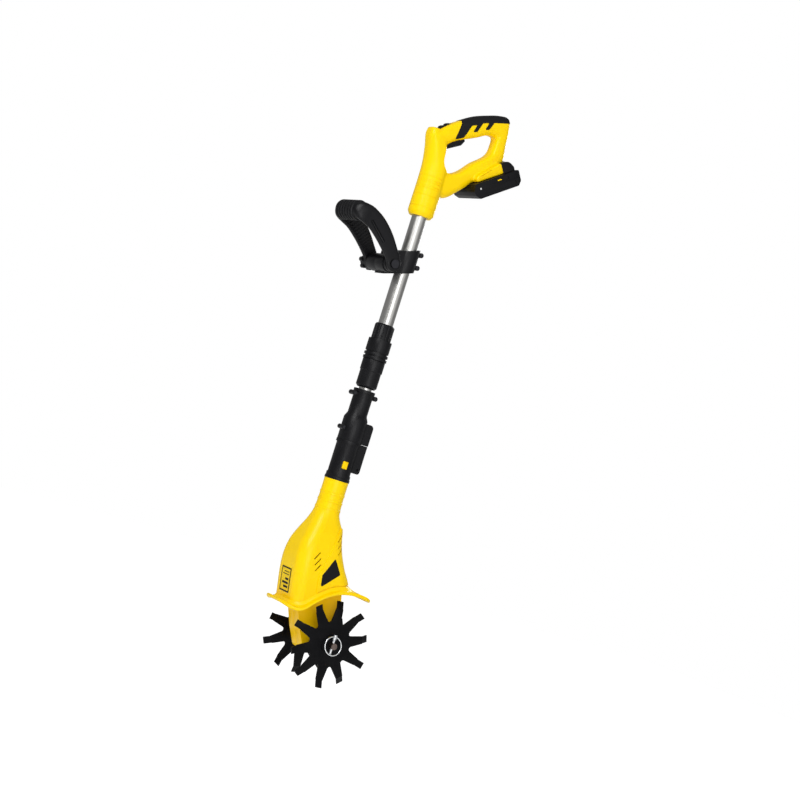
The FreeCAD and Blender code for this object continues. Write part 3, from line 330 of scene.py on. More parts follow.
def combined(shape, tool, operation="DIFFERENCE"):
    """A bmesh cut by, joined to or kept inside another, both of which are used up."""
    other = put(tool, "tool")
    out = modified(shape, "BOOLEAN", object=other, operation=operation, solver="EXACT")
    bpy.data.objects.remove(other)
    bmesh.ops.dissolve_degenerate(out, dist=0.004 * MM, edges=out.edges)
    return out


def piece(name, shape, material, body, replaced=()):
    """Ends a piece: its shading and finish, the body it rides on and the nodes it stands for."""
    for face in shape.faces:
        face.smooth = True
    for edge in shape.edges:
        edge.smooth = edge.calc_face_angle(0.0) < SHARP
    made = put(shape, name)
    made.data.materials.append(MATERIALS[material])
    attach(made, body)
    if replaced:
        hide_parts(*replaced)
    return made


def box(x0, x1, y0, y1, z0, z1):
    """A block between two corners in millimetres."""
    shape = bmesh.new()
    place = Matrix.Translation(mm((x0 + x1) / 2, (y0 + y1) / 2, (z0 + z1) / 2))
    size = Matrix.Diagonal((abs(x1 - x0) * MM, abs(y1 - y0) * MM, abs(z1 - z0) * MM, 1.0))
    bmesh.ops.create_cube(shape, size=1.0, matrix=place @ size)
    return shape


def upright_rod(radius, z0, z1, x):
    """A round bar along Z, in millimetres."""
    shape = bmesh.new()
    bmesh.ops.create_cone(shape, cap_ends=True, segments=64, radius1=radius * MM, radius2=radius * MM,
                          depth=(z1 - z0) * MM, matrix=Matrix.Translation(mm(x, 0, (z0 + z1) / 2)))
    return shape


def put_at(shape, x, z, slope=0.0, y=0.0):
    """Moves a shape made at the origin to a place in X and Z, leant by degrees from X towards Z."""
    turn = Matrix.Translation(mm(x, y, z)) @ Matrix.Rotation(-math.radians(slope), 4, "Y")
    bmesh.ops.transform(shape, matrix=turn, verts=shape.verts)
    return shape


def rounded_edges(shape, width, segments=3):
    """Rounds the sharp edges of a shape."""
    edges = [edge for edge in shape.edges if edge.is_manifold and edge.calc_face_angle(0.0) > SHARP]
    bmesh.ops.bevel(shape, geom=edges, offset=width * MM, offset_type="OFFSET", segments=segments,
                    profile=0.5, affect="EDGES", material=-1, clamp_overlap=True)
    return shape


def loft(rings, closed=False):
    """A skin over rings of equally many points, capped at its ends or closed on itself."""
    shape = bmesh.new()
    loop = bmesh.ops.create_circle(shape, segments=len(rings[0]), radius=1.0)["verts"]
    loops = []
    for ring in rings:
        if loops:
            edges = [shape.edges.get((a, b)) for a, b in zip(loop, loop[1:] + loop[:1])]
            grown = set(bmesh.ops.extrude_edge_only(shape, edges=edges)["geom"])
            loop = [next(e.other_vert(v) for e in v.link_edges if e.other_vert(v) in grown) for v in loop]
        for vert, place in zip(loop, ring):
            vert.co = place
        loops.append(loop)
    ends = [[shape.edges.get((a, b)) for a, b in zip(end, end[1:] + end[:1])]
            for end in (loops[0], loops[-1])]
    if closed:
        bmesh.ops.bridge_loops(shape, edges=ends[0] + ends[1])
    else:
        for end in ends:
            bmesh.ops.contextual_create(shape, geom=end)
    bmesh.ops.recalc_face_normals(shape, faces=shape.faces)
    return shape


def prism(outline, y0, y1):
    """A plate with an outline of (x, z) in millimetres, from one Y to another."""
    shape = bmesh.new()
    loop = bmesh.ops.create_circle(shape, segments=len(outline), radius=1.0, cap_ends=True)["verts"]
    for vert, (x, z) in zip(loop, outline):
        vert.co = mm(x, y0, z)
    grown = bmesh.ops.extrude_face_region(shape, geom=shape.faces[:])["geom"]
    far = [part for part in grown if isinstance(part, bmesh.types.BMVert)]
    bmesh.ops.translate(shape, vec=mm(0, y1 - y0, 0), verts=far)
    bmesh.ops.recalc_face_normals(shape, faces=shape.faces)
    return shape


def turned(profile, centre, axis, steps=64):
    """A turned shape: a closed outline of (along, radius) in millimetres spun round an axis."""
    shape = bmesh.new()
    axis = Vector(axis).normalized()
    side = axis.orthogonal().normalized()
    loop = bmesh.ops.create_circle(shape, segments=len(profile), radius=1.0)["verts"]
    for vert, (along, radius) in zip(loop, profile):
        vert.co = mm(*centre) + (axis * along + side * radius) * MM
    bmesh.ops.spin(shape, geom=shape.verts[:] + shape.edges[:], cent=mm(*centre), axis=axis,
                   angle=2 * math.pi, steps=steps, use_merge=True)
    bmesh.ops.remove_doubles(shape, verts=shape.verts, dist=0.002 * MM)
    bmesh.ops.recalc_face_normals(shape, faces=shape.faces)
    return shape


def rounded(corners, step=12.0):
    """An outline whose corners, each (x, z, radius) in millimetres, are arcs."""
    points = []
    for k, (x, z, radius) in enumerate(corners):
        here = Vector((x, z))
        back = Vector(corners[k - 1][:2]) - here
        ahead = Vector(corners[(k + 1) % len(corners)][:2]) - here
        half = back.angle(ahead) / 2
        reach = min(radius / math.tan(half), back.length * 0.48, ahead.length * 0.48)
        radius = reach * math.tan(half)
        bisector = (back.normalized() + ahead.normalized()).normalized()
        centre = here + bisector * (radius / math.sin(half))
        start = back.normalized() * reach - bisector * (radius / math.sin(half))
        sweep = (math.pi - 2 * half) * (-1 if back.x * ahead.y - back.y * ahead.x > 0 else 1)
        parts = max(2, math.ceil(abs(math.degrees(sweep)) / step))
        for i in range(parts + 1):
            turn = sweep * i / parts
            points.append((centre.x + start.x * math.cos(turn) - start.y * math.sin(turn),
                           centre.y + start.x * math.sin(turn) + start.y * math.cos(turn)))
    return points


def through(rows, key):
    """Values at a key of a smooth curve through rows, each of which starts with its key, lowest first."""
    k = max(1, min(len(rows) - 1, sum(row[0] <= key for row in rows)))
    low, high = rows[k - 1], rows[k]
    before, after = rows[max(k - 2, 0)], rows[min(k + 1, len(rows) - 1)]
    span = high[0] - low[0]
    t = (key - low[0]) / span
    out = []
    for i in range(1, len(low)):
        leave = (high[i] - before[i]) / (high[0] - before[0]) * span
        reach = (after[i] - low[i]) / (after[0] - low[0]) * span
        out.append((2 * t ** 3 - 3 * t ** 2 + 1) * low[i] + (t ** 3 - 2 * t ** 2 + t) * leave
                   + (3 * t ** 2 - 2 * t ** 3) * high[i] + (t ** 3 - t ** 2) * reach)
    return out


def box_ring(x0, x1, half, front, rear, arc=14, side=18):
    """Points round a rectangle in X and Y with rounded front and rear corners, matched corner to corner."""
    points = []
    corners = ((x0, -half, front, 180), (x1, -half, rear, 270), (x1, half, rear, 0), (x0, half, front, 90))
    ends = []
    for x, y, radius, start in corners:
        cx = x + radius if x == x0 else x - radius
        cy = y + radius if y < 0 else y - radius
        bend = [math.radians(start + 90 * i / arc) for i in range(arc + 1)]
        ends.append([(cx + radius * math.cos(a), cy + radius * math.sin(a)) for a in bend])
    for this, after in zip(ends, ends[1:] + ends[:1]):
        points += this[:-1]
        (ax, ay), (bx, by) = this[-1], after[0]
        points += [(ax + (bx - ax) * i / side, ay + (by - ay) * i / side) for i in range(side)]
    return points


# ---------------------------------------------------------------- head
HEAD = (  # height, front x, rear x, half width, corner radius
    (40.0, -90.0, 24.0, 43.0, 22.0), (75.0, -96.0, 22.0, 45.0, 22.0), (108.0, -102.0, 14.0, 46.0, 23.0),
    (138.0, -105.0, -5.0, 44.5, 24.0), (164.0, -102.5, -17.0, 40.5, 24.0), (186.0, -95.5, -22.0, 34.5, 23.0),
    (204.0, -88.5, -24.0, 28.5, 21.5), (214.0, -85.5, -29.5, 25.8, 21.0), (226.0, -82.8, -35.0, 23.2, 20.8),
    (240.0, -81.8, -36.2, 22.6, 21.2), (262.0, -81.4, -36.6, 22.4, 21.6), (288.0, -81.6, -36.4, 22.6, 21.8),
)
GUARD = (  # x, height of the guard's upper face
    (-112.0, 57.0), (-96.0, 51.0), (-78.0, 53.5), (-54.0, 74.0), (-34.0, 88.5), (-12.0, 98.0), (14.0, 102.0),
    (40.0, 100.5), (62.0, 94.5),
)
# Outlines of the guard and of the hole in it: front x, rear x, half width, front and rear corner radius.
GUARD_EDGE = (-111.0, 61.0, 59.5, 42.0, 22.0)
GUARD_HOLE = (-77.0, 20.0, 22.4, 2.0, 2.0)
GUARD_SHEET, GUARD_LIP = 3.2, 6.2
FLANGE_RISE = 8.0
WALL = 2.4
SEAM = 0.05
NECK_RIBS = (232.0, 246.0, 260.0)
REAR_PANEL = (  # x, z and corner radius of the raised panel's upper outline
    (60.0, 206.0, 1.0), (-34.0, 206.0, 4.0), (-41.0, 184.0, 6.0), (-60.0, 122.0, 6.0), (-59.0, 103.0, 3.0),
)
PANEL_FOOT = (-55.0, -44.0, -32.0, -20.0, -8.0, 4.0, 16.0, 60.0)   # x along its lower edge, over the flange
PANEL_CLEAR = 1.5
PANEL_STANDS, PANEL_SINKS = 1.8, 0.6
SIDE_PLATE = ((-37.0, 152.0, 2.0), (-19.0, 126.0, 2.0), (-51.0, 95.5, 2.0), (-55.0, 117.0, 2.0))
SLIT_HALF, SLIT_TALL = 8.5, 1.2
SLITS = ((-74.0, 148.0), (-70.0, 138.0), (-66.5, 128.0), (-33.0, 188.0), (-30.0, 177.0), (-27.5, 166.0))
SLIT_SLOPE = 57.0


def guard_height(x):
    """Height of the guard's upper face over a place along X."""
    return through(GUARD, max(GUARD[0][0], min(GUARD[-1][0], x)))[0]


def head_points(height, inset=0.0):
    """Points of the head's section at a height, inside its skin by a distance."""
    x0, x1, half, corner = through(HEAD, height)
    corner -= inset
    return box_ring(x0 + inset, x1 - inset, half - inset, corner, corner)


def head_ring(share, top, rise, inset):
    """Ring of the housing a share of the way from a level down to the guard's flange."""
    ring = []
    for k in range(len(head_points(top))):
        height = top
        for _ in range(5):
            x, y = head_points(height, inset)[k]
            height = top + (guard_height(x) + rise - top) * share
        ring.append(mm(x, y, height))
    return ring


def housing(inset=0.0, rise=FLANGE_RISE + 0.1, ribs=False):
    """The closed outer shape of the head, from its neck to the guard's flange."""
    levels = [(288.0, 0.0), (270.0, 0.0)]
    for low in reversed(NECK_RIBS):
        stand = 0.7 if ribs else 0.0
        levels += [(low + 4.3, 0.0), (low + 3.7, -stand), (low + 0.3, -stand), (low - 0.3, 0.0)]
    levels += [(z, 0.0) for z in (226.0, 220.0, *(213.0 - 7.0 * k for k in range(9)))]
    rings = [[mm(x, y, z) for x, y in head_points(z, inset + out)] for z, out in levels]
    rings += [head_ring(k / 12, 150.0, rise, inset) for k in range(13)]
    return loft(rings)


def half_of(shape, side):
    """The left (-1) or right (1) half of a shape, open along the seam."""
    bmesh.ops.bisect_plane(shape, geom=shape.verts[:] + shape.edges[:] + shape.faces[:],
                           plane_co=mm(0, side * SEAM, 0), plane_no=(0, -side, 0), clear_outer=True)
    return shape


def opened(shape):
    """Takes away the flat caps at the lowest and highest ends, the only faces with many corners."""
    caps = [face for face in shape.faces if len(face.verts) > 8]
    bmesh.ops.delete(shape, geom=caps, context="FACES")
    return shape


def head_cover(side):
    """One half of the head's housing: wall, neck ribs, raised rear panel and slits."""
    shape = opened(half_of(housing(ribs=True), side))
    shape = modified(shape, "SOLIDIFY", thickness=WALL * MM, offset=-1.0, use_even_offset=True)
    bmesh.ops.recalc_face_normals(shape, faces=shape.faces)
    foot = [(x, guard_height(x) + FLANGE_RISE + PANEL_CLEAR, 1.0) for x in PANEL_FOOT]
    panel = prism(rounded([*REAR_PANEL, *foot]), side * 8.0, side * 60.0)
    panel = combined(panel, housing(-PANEL_STANDS), "INTERSECT")
    panel = rounded_edges(combined(panel, housing(PANEL_SINKS)), 0.5, 2)
    for x, z in SLITS:
        slit = box(-SLIT_HALF, SLIT_HALF, side * 10.0, side * 60.0, -SLIT_TALL, SLIT_TALL)
        slit = put_at(rounded_edges(slit, 0.8, 2), x, z, SLIT_SLOPE)
        panel = combined(panel, slit.copy())
        shape = combined(shape, slit)
    return joined(shape, panel)


class TILLER_OT_head(bpy.types.Operator):
    """Makes the head's two covers and its black side plates"""
    bl_idname = "tiller.head"
    bl_label = "Head covers"

    def execute(self, context):
        for side, name in SIDES:
            piece("head_cover_" + name, head_cover(side), "yellow_abs", "head", ["head_shell_" + name])
            plate = prism(rounded(SIDE_PLATE), side * 20.0, side * 60.0)
            plate = combined(plate, housing(-PANEL_STANDS - 0.35), "INTERSECT")
            plate = combined(plate, housing(-PANEL_STANDS + 0.4))
            piece("side_badge_" + name, rounded_edges(plate, 0.3, 2), "black_gloss", "head",
                  ["side_plate_" + name])
        return {"FINISHED"}


# ---------------------------------------------------------------- guard
GUARD_LAYERS = (  # share of the way from the flange to the lip, then further out, and height, in millimetres
    (1.0, -7.0, -GUARD_SHEET), (1.0, -5.0, -GUARD_LIP + 0.8), (1.0, -3.4, -GUARD_LIP),
    (1.0, -1.9, -GUARD_LIP + 0.2), (1.0, -0.7, -GUARD_LIP + 1.1), (1.0, 0.0, -GUARD_LIP + 2.6),
    (1.0, -0.1, -1.9), (1.0, -0.8, -0.7), (1.0, -2.2, -0.1), (1.0, -4.5, 0.0),
)


def guard_ring(share, out, lift, inset=0.0):
    """Ring of the guard a share of the way from the housing to its edge."""
    edge = box_ring(*GUARD_EDGE)
    ring = []
    for k, (ex, ey) in enumerate(edge):
        height = 90.0
        for _ in range(5):
            x, y = head_points(height, inset)[k]
            height = guard_height(x) + FLANGE_RISE
        place = Vector((x, y)).lerp(Vector((ex, ey)), share)
        place += (Vector((ex, ey)) - Vector((x, y))).normalized() * out
        ring.append(mm(place.x, place.y, guard_height(place.x) + lift))
    return ring


def guard_shape():
    """The guard: a sheet arched over the tines, with a rounded lip and a fillet up to the housing."""
    hole = box_ring(*GUARD_HOLE)
    rings = [[mm(x, y, guard_height(x) - GUARD_SHEET) for x, y in hole], guard_ring(0.0, 0.0, -GUARD_SHEET)]
    rings += [guard_ring(share, out, lift) for share, out, lift in GUARD_LAYERS]
    rings += [guard_ring(share, 0.0, FLANGE_RISE * (1 - share / 0.5) ** 2.4) for share in
              (0.5, 0.42, 0.34, 0.27, 0.2, 0.14, 0.09, 0.05, 0.02, 0.0)]
    rings.append(guard_ring(0.0, 0.0, FLANGE_RISE, WALL))
    rings.append(guard_ring(0.0, 0.0, 0.0, WALL))
    rings.append([mm(x, y, guard_height(x)) for x, y in hole])
    return loft(rings, closed=True)


class TILLER_OT_guard(bpy.types.Operator):
    """Makes the guard over the tines"""
    bl_idname = "tiller.guard"
    bl_label = "Guard"

    def execute(self, context):
        piece("tine_guard", guard_shape(), "yellow_abs", "head", ["guard"])
        return {"FINISHED"}


# ---------------------------------------------------------------- main handle
PACK_SLOPE = 36.0
PACK_AT = (33.0, 863.0)


def along(s, h):
    """X and Z of a place given along the battery pack and up from its floor."""
    a = math.radians(PACK_SLOPE)
    return PACK_AT[0] + s * math.cos(a) - h * math.sin(a), PACK_AT[1] + s * math.sin(a) + h * math.cos(a)


def on_pack(corners):
    """A rounded outline whose corners are given along and above the pack, with their radii."""
    return rounded([(*along(s, h), radius) for s, h, radius in corners])


LOOP = (  # outer x and z, inner x and z, half width, round the D from the spine over the grip
    (-86.0, 942.0, -60.0, 915.0, 19.0), (-76.0, 959.5, -55.0, 934.0, 17.0),
    (-59.0, 975.5, -39.0, 949.0, 16.0),
    (-36.0, 992.0, -16.0, 961.5, 15.8), (-12.0, 1007.5, 4.0, 972.0, 15.8), (14.0, 1019.0, 22.0, 983.0, 15.8),
    (38.0, 1027.5, 35.0, 986.0, 15.8), (58.5, 1028.5, 43.0, 983.0, 15.5), (66.0, 1004.0, 43.5, 971.0, 15.2),
    (68.5, 979.0, 41.5, 955.0, 15.2), (72.5, 951.0, 31.0, 942.0, 16.5), (63.5, 923.0, 12.0, 926.0, 18.0),
    (45.0, 909.5, -3.0, 908.0, 18.5), (25.6, 895.0, -17.0, 896.0, 18.5), (-2.0, 864.0, -35.0, 889.0, 19.0),
    (-30.0, 841.0, -51.0, 898.0, 20.0), (-66.0, 850.0, -56.0, 913.0, 20.0),
)
LOOP_SQUARENESS = 3.3
SPINE = (  # height, front x, rear x, half width, corner radius
    (785.0, -83.6, -34.4, 24.3, 24.1), (805.0, -83.8, -34.2, 24.5, 24.3),
    (886.0, -84.0, -34.0, 24.5, 24.0), (922.0, -89.0, -45.0, 20.5, 17.0), (946.0, -95.0, -60.0, 17.0, 11.0),
    (958.0, -93.5, -66.0, 13.5, 8.0),
)
# The foot over the pack, the channel in it for the pack's rails, and the slit in its side: place along the
# pack, height above its floor, corner radius.
FOOT = ((6.0, 29.6, 1.5), (66.0, 29.6, 1.5), (66.0, 50.5, 3.0), (12.0, 41.5, 6.0), (6.0, 37.0, 3.0))
CHANNEL = ((7.5, 20.0, 0.5), (69.0, 20.0, 0.5), (69.0, 37.5, 0.5), (7.5, 37.5, 0.5))
FOOT_SLIT = ((16.0, 38.2, 0.6), (42.0, 43.3, 0.6), (42.0, 44.3, 0.6), (16.0, 39.2, 0.6))
FOOT_HALF, CHANNEL_HALF = 31.0, 22.6
OPENING = (  # x, z and corner radius of the D's clear opening
    (-56.5, 938.0, 5.0), (-56.5, 889.5, 21.0), (-16.0, 889.5, 14.0), (46.0, 954.0, 9.0),
    (47.0, 986.0, 9.0), (22.0, 986.0, 12.0), (-13.0, 965.0, 5.0),
)
WEB = ((-64.0, 930.0), (-64.0, 880.0), (-30.0, 860.0), (12.0, 890.0), (-5.0, 915.0))
WEB_HALF = 15.0
VOXEL, SMOOTHING = 1.1, 12   # grid of the moulding's skin, and how often it is smoothed
BORE_R = 14.2
LIP_Z = 795.0
LIP = (  # height over LIP_Z, and radius, of what is cut from the lower end of the spine
    (0.0, 20.6), (7.0, 24.9), (7.0, 40.0), (-25.0, 40.0), (-25.0, 0.2), (0.0, 0.2),
)
GROOVE = ((-0.5, 24.4), (0.0, 24.0), (0.5, 24.4), (0.5, 30.0), (-0.5, 30.0))
TRIGGER_HALF = 7.4
TRIGGER_WINDOW = ((-60.0, 972.0, 1.0), (-60.0, 926.0, 1.0), (-50.0, 920.0, 1.0), (-14.0, 945.0, 1.0),
                  (-15.5, 962.0, 1.0), (-26.0, 974.0, 1.0))
LOCK_OFF, LOCK_OFF_SLOPE = (-67.5, 967.0), 39.5
LOCK_OFF_POCKET = (-11.6, 16.8, -6.4, 6.4, -7.4, 12.0)
SPINE_GROOVES = (812.0, 834.0, 847.0, 851.0, 858.0, 862.0, 870.0)
PAD = (  # x, z and corner radius of the soft pad, with its three fingers
    (-45.0, 950.0, 2.0), (-28.0, 960.0, 2.0), (-19.5, 986.5, 2.0), (-8.5, 993.0, 1.5), (-13.0, 976.5, 1.5),
    (-4.5, 980.5, 1.5), (2.0, 999.5, 2.0), (15.0, 1005.5, 1.5), (10.5, 989.5, 1.5), (19.0, 993.5, 1.5),
    (25.0, 1009.0, 2.0), (56.0, 1019.5, 3.0), (72.0, 1022.0, 2.0), (72.0, 1040.0, 2.0), (30.0, 1040.0, 2.0),
    (-38.0, 1004.0, 2.0), (-40.0, 988.0, 2.0),
)
PAD_STANDS, PAD_SINKS = 0.7, 1.0


def section(centre, long, wide, squareness, count):
    """Points of a section between an ellipse and a rectangle: its centre and its two half axes."""
    points = []
    for k in range(count):
        a = 2 * math.pi * k / count
        u, v = (math.copysign(abs(part) ** (2 / squareness), part) for part in (math.cos(a), math.sin(a)))
        points.append(centre + long * u + wide * v)
    return points


def loop_shape():
    """The D of the handle, lofted round through its stations."""
    count = len(LOOP)
    rows = [(k, *LOOP[k % count]) for k in range(-2, count + 3)]
    rings = []
    for k in range(count * 4):
        x0, z0, x1, z1, half = through(rows, k / 4)
        outer, inner = mm(x0, 0, z0), mm(x1, 0, z1)
        rings.append(section((outer + inner) / 2, (outer - inner) / 2, mm(0, half, 0), LOOP_SQUARENESS, 36))
    return loft(rings, closed=True)


def joined(*shapes):
    """One bmesh that holds several."""
    made = bmesh.new()
    for shape in shapes:
        mesh = bpy.data.meshes.new("part")
        shape.to_mesh(mesh)
        shape.free()
        made.from_mesh(mesh)
        bpy.data.meshes.remove(mesh)
    return made


def handle_solid():
    """The handle's outer shape: D, spine and foot run into each other as one moulding."""
    foot_z, top_z = SPINE[1][0], SPINE[-1][0]
    heights = [SPINE[0][0], LIP_Z, foot_z] + [foot_z + (top_z - foot_z) * k / 30 for k in range(1, 31)]
    spine = []
    for z in heights:
        x0, x1, half, corner = through(SPINE, z)
        spine.append([mm(x, y, z) for x, y in box_ring(x0, x1, half, corner, corner)])
    foot = prism(on_pack(FOOT), -FOOT_HALF, FOOT_HALF)
    spine = combined(loft(spine), prism(rounded(OPENING), -40.0, 40.0))
    web = combined(prism(WEB, -WEB_HALF, WEB_HALF), prism(rounded(OPENING), -40.0, 40.0))
    raw = joined(loop_shape(), spine, rounded_edges(web, 4.0), rounded_edges(foot, 1.2))
    shape = modified(raw, "REMESH", mode="VOXEL", voxel_size=VOXEL * MM, use_smooth_shade=True)
    for _ in range(SMOOTHING):
        bmesh.ops.smooth_vert(shape, verts=shape.verts, factor=0.5, use_axis_x=True, use_axis_y=True,
                              use_axis_z=True)
    return shape


def swollen(shape, distance):
    """A copy of a shape grown along its normals, in millimetres."""
    return modified(shape.copy(), "DISPLACE", strength=distance * MM, mid_level=0.0)


def handle_cuts(side):
    """What is cut from one half of the handle: windows, the pack's channel, the tube's bore and the slit."""
    pole = POLE_X / MM
    grooves = []
    for z in SPINE_GROOVES:
        ring = turned(GROOVE, (pole, 0.0, z), (0, 0, 1), 96)
        grooves.append(combined(ring, box(-100.0, -50.0, -40.0, 40.0, z - 5, z + 5), "INTERSECT"))
    return [
        turned(LIP, (pole, 0.0, LIP_Z), (0, 0, 1), 96),
        prism(rounded(TRIGGER_WINDOW), -TRIGGER_HALF, TRIGGER_HALF),
        prism(on_pack(CHANNEL), -CHANNEL_HALF, CHANNEL_HALF),
        prism(on_pack(FOOT_SLIT), side * 28.0, side * 40.0),
        upright_rod(BORE_R, 780.0, 890.0, pole),
        put_at(box(*LOCK_OFF_POCKET), *LOCK_OFF, LOCK_OFF_SLOPE),
        joined(*grooves),
    ]


def handle_half(solid, side):
    """One half of the handle, parted at the seam."""
    room = box(-200.0, 200.0, side * SEAM, side * 60.0, 700.0, 1100.0)
    shape = combined(solid.copy(), room, "INTERSECT")
    for tool in handle_cuts(side):
        shape = combined(shape, tool)
    return shape


def pad_shape(solid):
    """The soft pad moulded round the grip, with its three fingers down each side."""
    pad = combined(prism(rounded(PAD), -30.0, 30.0), swollen(solid, PAD_STANDS), "INTERSECT")
    return combined(pad, swollen(solid, -PAD_SINKS))


class TILLER_OT_handle(bpy.types.Operator):
    """Makes the two halves of the main handle and the soft pad of its grip"""
    bl_idname = "tiller.handle"
    bl_label = "Main handle"

    def execute(self, context):
        solid = handle_solid()
        for side, name in SIDES:
            piece("handle_half_" + name, handle_half(solid, side), "yellow_abs", "handle",
                  ["handle_shell_" + name])
        piece("grip_overmould", pad_shape(solid), "soft_grip", "handle", ["grip_pad"])
        solid.free()
        return {"FINISHED"}


# ---------------------------------------------------------------- front handle
ARM = (  # x and z of the arm's middle line, and its half width, from the pivot up to the grip
    (-105.0, 691.0, 14.4), (-110.5, 701.0, 13.8), (-119.5, 711.0, 14.2), (-129.0, 721.0, 15.4),
    (-139.5, 731.0, 16.5), (-152.0, 741.0, 17.2), (-166.0, 750.0, 17.5), (-182.0, 756.5, 17.8),
)
ARM_Y, ARM_THICK = 41.55, 8.2
ARM_RIBS = 12
PIVOT_R = ARM[0][2]
PIVOT_STEPS = (14.35, 13.9, 12.8, 11.0, 8.5, 5.0)   # how far behind the pivot the eye's sections are
GRIP_AT, GRIP_R, GRIP_CORE = (-197.0, 760.0), 18.4, 15.8
GRIP_STRAIGHT = 33.0
GRIP_RIBS = 7
GRIP_RIB = (  # along the grip from the middle of a rib, and radius
    (-2.6, GRIP_CORE), (-2.0, GRIP_CORE + 0.3), (-1.4, GRIP_R - 0.4), (-0.7, GRIP_R),
    (0.7, GRIP_R), (1.4, GRIP_R - 0.4), (2.0, GRIP_CORE + 0.3), (2.6, GRIP_CORE),
)
BEND_STEPS = 8
PIVOT_GROOVE = ((-1.2, 8.2), (3.0, 8.2), (3.0, 9.4), (-1.2, 9.4))   # out from the arm's face, radius
ARM_SLOT = (-24.0, 24.0, -2.6, 3.0, -2.9, 2.9)
ARM_SLOT_AT = (-158.0, 735.0)


def arm_rings():
    """Sections of the left arm from the pivot to the bend into the grip."""
    rings = []
    rows = [(k, *row) for k, row in enumerate(ARM)]
    first = Vector((ARM[1][0] - ARM[0][0], 0, ARM[1][1] - ARM[0][1])).normalized()
    for back in PIVOT_STEPS:
        centre = Vector((ARM[0][0], -ARM_Y, ARM[0][1])) - first * back
        rings.append((centre, first, math.sqrt(PIVOT_R ** 2 - back ** 2), ARM_THICK / 2, 4.0))
    for k in range((len(ARM) - 1) * 3 + 1):
        x, z, half = through(rows, k / 3)
        ahead = through(rows, min(k / 3 + 0.05, len(ARM) - 1))
        behind = through(rows, max(k / 3 - 0.05, 0))
        way = Vector((ahead[0] - behind[0], 0, ahead[1] - behind[1])).normalized()
        rings.append((Vector((x, -ARM_Y, z)), way, half, ARM_THICK / 2, 4.0))
    return rings


def grip_rings():
    """Sections from the left bend along the grip to its middle, ribs included."""
    way = Vector((GRIP_AT[0] - ARM[-1][0], 0, GRIP_AT[1] - ARM[-1][1])).normalized()
    rings = []
    bend = ARM_Y - GRIP_STRAIGHT
    pull = math.dist(GRIP_AT, ARM[-1][:2])
    arm_half = ARM[-1][2]
    for k in range(1, BEND_STEPS + 1):
        t = k / BEND_STEPS
        a = math.pi / 2 * k / BEND_STEPS
        centre = Vector((ARM[-1][0], -ARM_Y, ARM[-1][1])) + way * pull * math.sin(a)
        centre += Vector((0, bend * (1 - math.cos(a)), 0))
        turn = way * math.cos(a) + Vector((0, math.sin(a), 0))
        wide = arm_half + (GRIP_CORE - arm_half) * t
        thick = ARM_THICK / 2 + (GRIP_CORE - ARM_THICK / 2) * t ** 1.5
        rings.append((centre, turn, wide, thick, 4.0 - 2.0 * t))
    pitch = 2 * GRIP_STRAIGHT / GRIP_RIBS
    centre = Vector((GRIP_AT[0], 0, GRIP_AT[1]))
    for k in range(GRIP_RIBS):
        start = -GRIP_STRAIGHT + (k + 0.5) * pitch
        for off, radius in GRIP_RIB:
            rings.append((centre + Vector((0, start + off, 0)), Vector((0, 1, 0)), radius, radius, 2.0))
    return rings


def front_loop():
    """The front handle: two ribbon arms and a ribbed grip, moulded in one."""
    arm = arm_rings()
    rings = arm + grip_rings()
    for centre, way, *rest in reversed(rings[:len(arm) + BEND_STEPS]):
        rings.append((Vector((centre.x, -centre.y, centre.z)), Vector((-way.x, way.y, -way.z)), *rest))
    sections = []
    for centre, way, wide, thick, square in rings:
        flat = Vector((way.x, 0, way.z))
        if flat.length < 0.05:
            flat = Vector((GRIP_AT[0] - ARM[-1][0], 0, GRIP_AT[1] - ARM[-1][1]))
        flat.normalize()
        up = Vector((-flat.z, 0, flat.x))
        up = -up if up.z < 0 else up
        across = way.cross(up).normalized()
        sections.append(section(centre * MM, up * wide * MM, across * thick * MM, square, 48))
    return loft(sections)


class TILLER_OT_front_handle(bpy.types.Operator):
    """Makes the front handle: ribbon arms, ribbed grip, slots and stiffening ribs"""
    bl_idname = "tiller.front_handle"
    bl_label = "Front handle"

    def execute(self, context):
        shape = front_loop()
        x, z = ARM[0][:2]
        way = math.degrees(math.atan2(ARM[6][1] - ARM[3][1], ARM[6][0] - ARM[3][0]))
        for side in (-1, 1):
            face = side * (ARM_Y + ARM_THICK / 2)
            groove = turned(PIVOT_GROOVE, (x, face, z), (0, side, 0), 48)
            slot = put_at(rounded_edges(box(*ARM_SLOT), 2.6, 3), *ARM_SLOT_AT, way - 180.0, face)
            shape = combined(combined(shape, groove), slot)
        ribs = []
        for k in range(ARM_RIBS):
            t = 2.2 + 4.2 * k / (ARM_RIBS - 1)
            cx, cz, half = through([(i, *row) for i, row in enumerate(ARM)], t)
            for side in (-1, 1):
                rib = rounded_edges(box(-0.7, 0.7, -0.9, 0.9, -half + 2.2, half - 2.2), 0.4, 2)
                ribs.append(put_at(rib, cx, cz, way - 180.0, side * (ARM_Y - ARM_THICK / 2 - 0.3)))
        piece("front_handle_loop", shape, "black_nylon", "aux_handle", ["aux_loop"])
        piece("front_handle_ribs", joined(*ribs), "black_nylon", "aux_handle")
        return {"FINISHED"}


# ---------------------------------------------------------------- small pieces
LABEL_PLACE = (68.0, 112.0, 18.0)   # lower and upper height, half width
FRAME_LINE = 2.6
LABEL_BARS = (  # from one Y to another, from one height to another
    (-12.0, 5.0, 75.0, 79.0), (-12.0, 11.0, 82.0, 86.0), (-12.0, 1.0, 89.0, 93.0), (-12.0, 11.0, 98.5, 100.0),
    (-12.0, 7.0, 103.0, 104.5),
)
PACK_HALF = 38.0
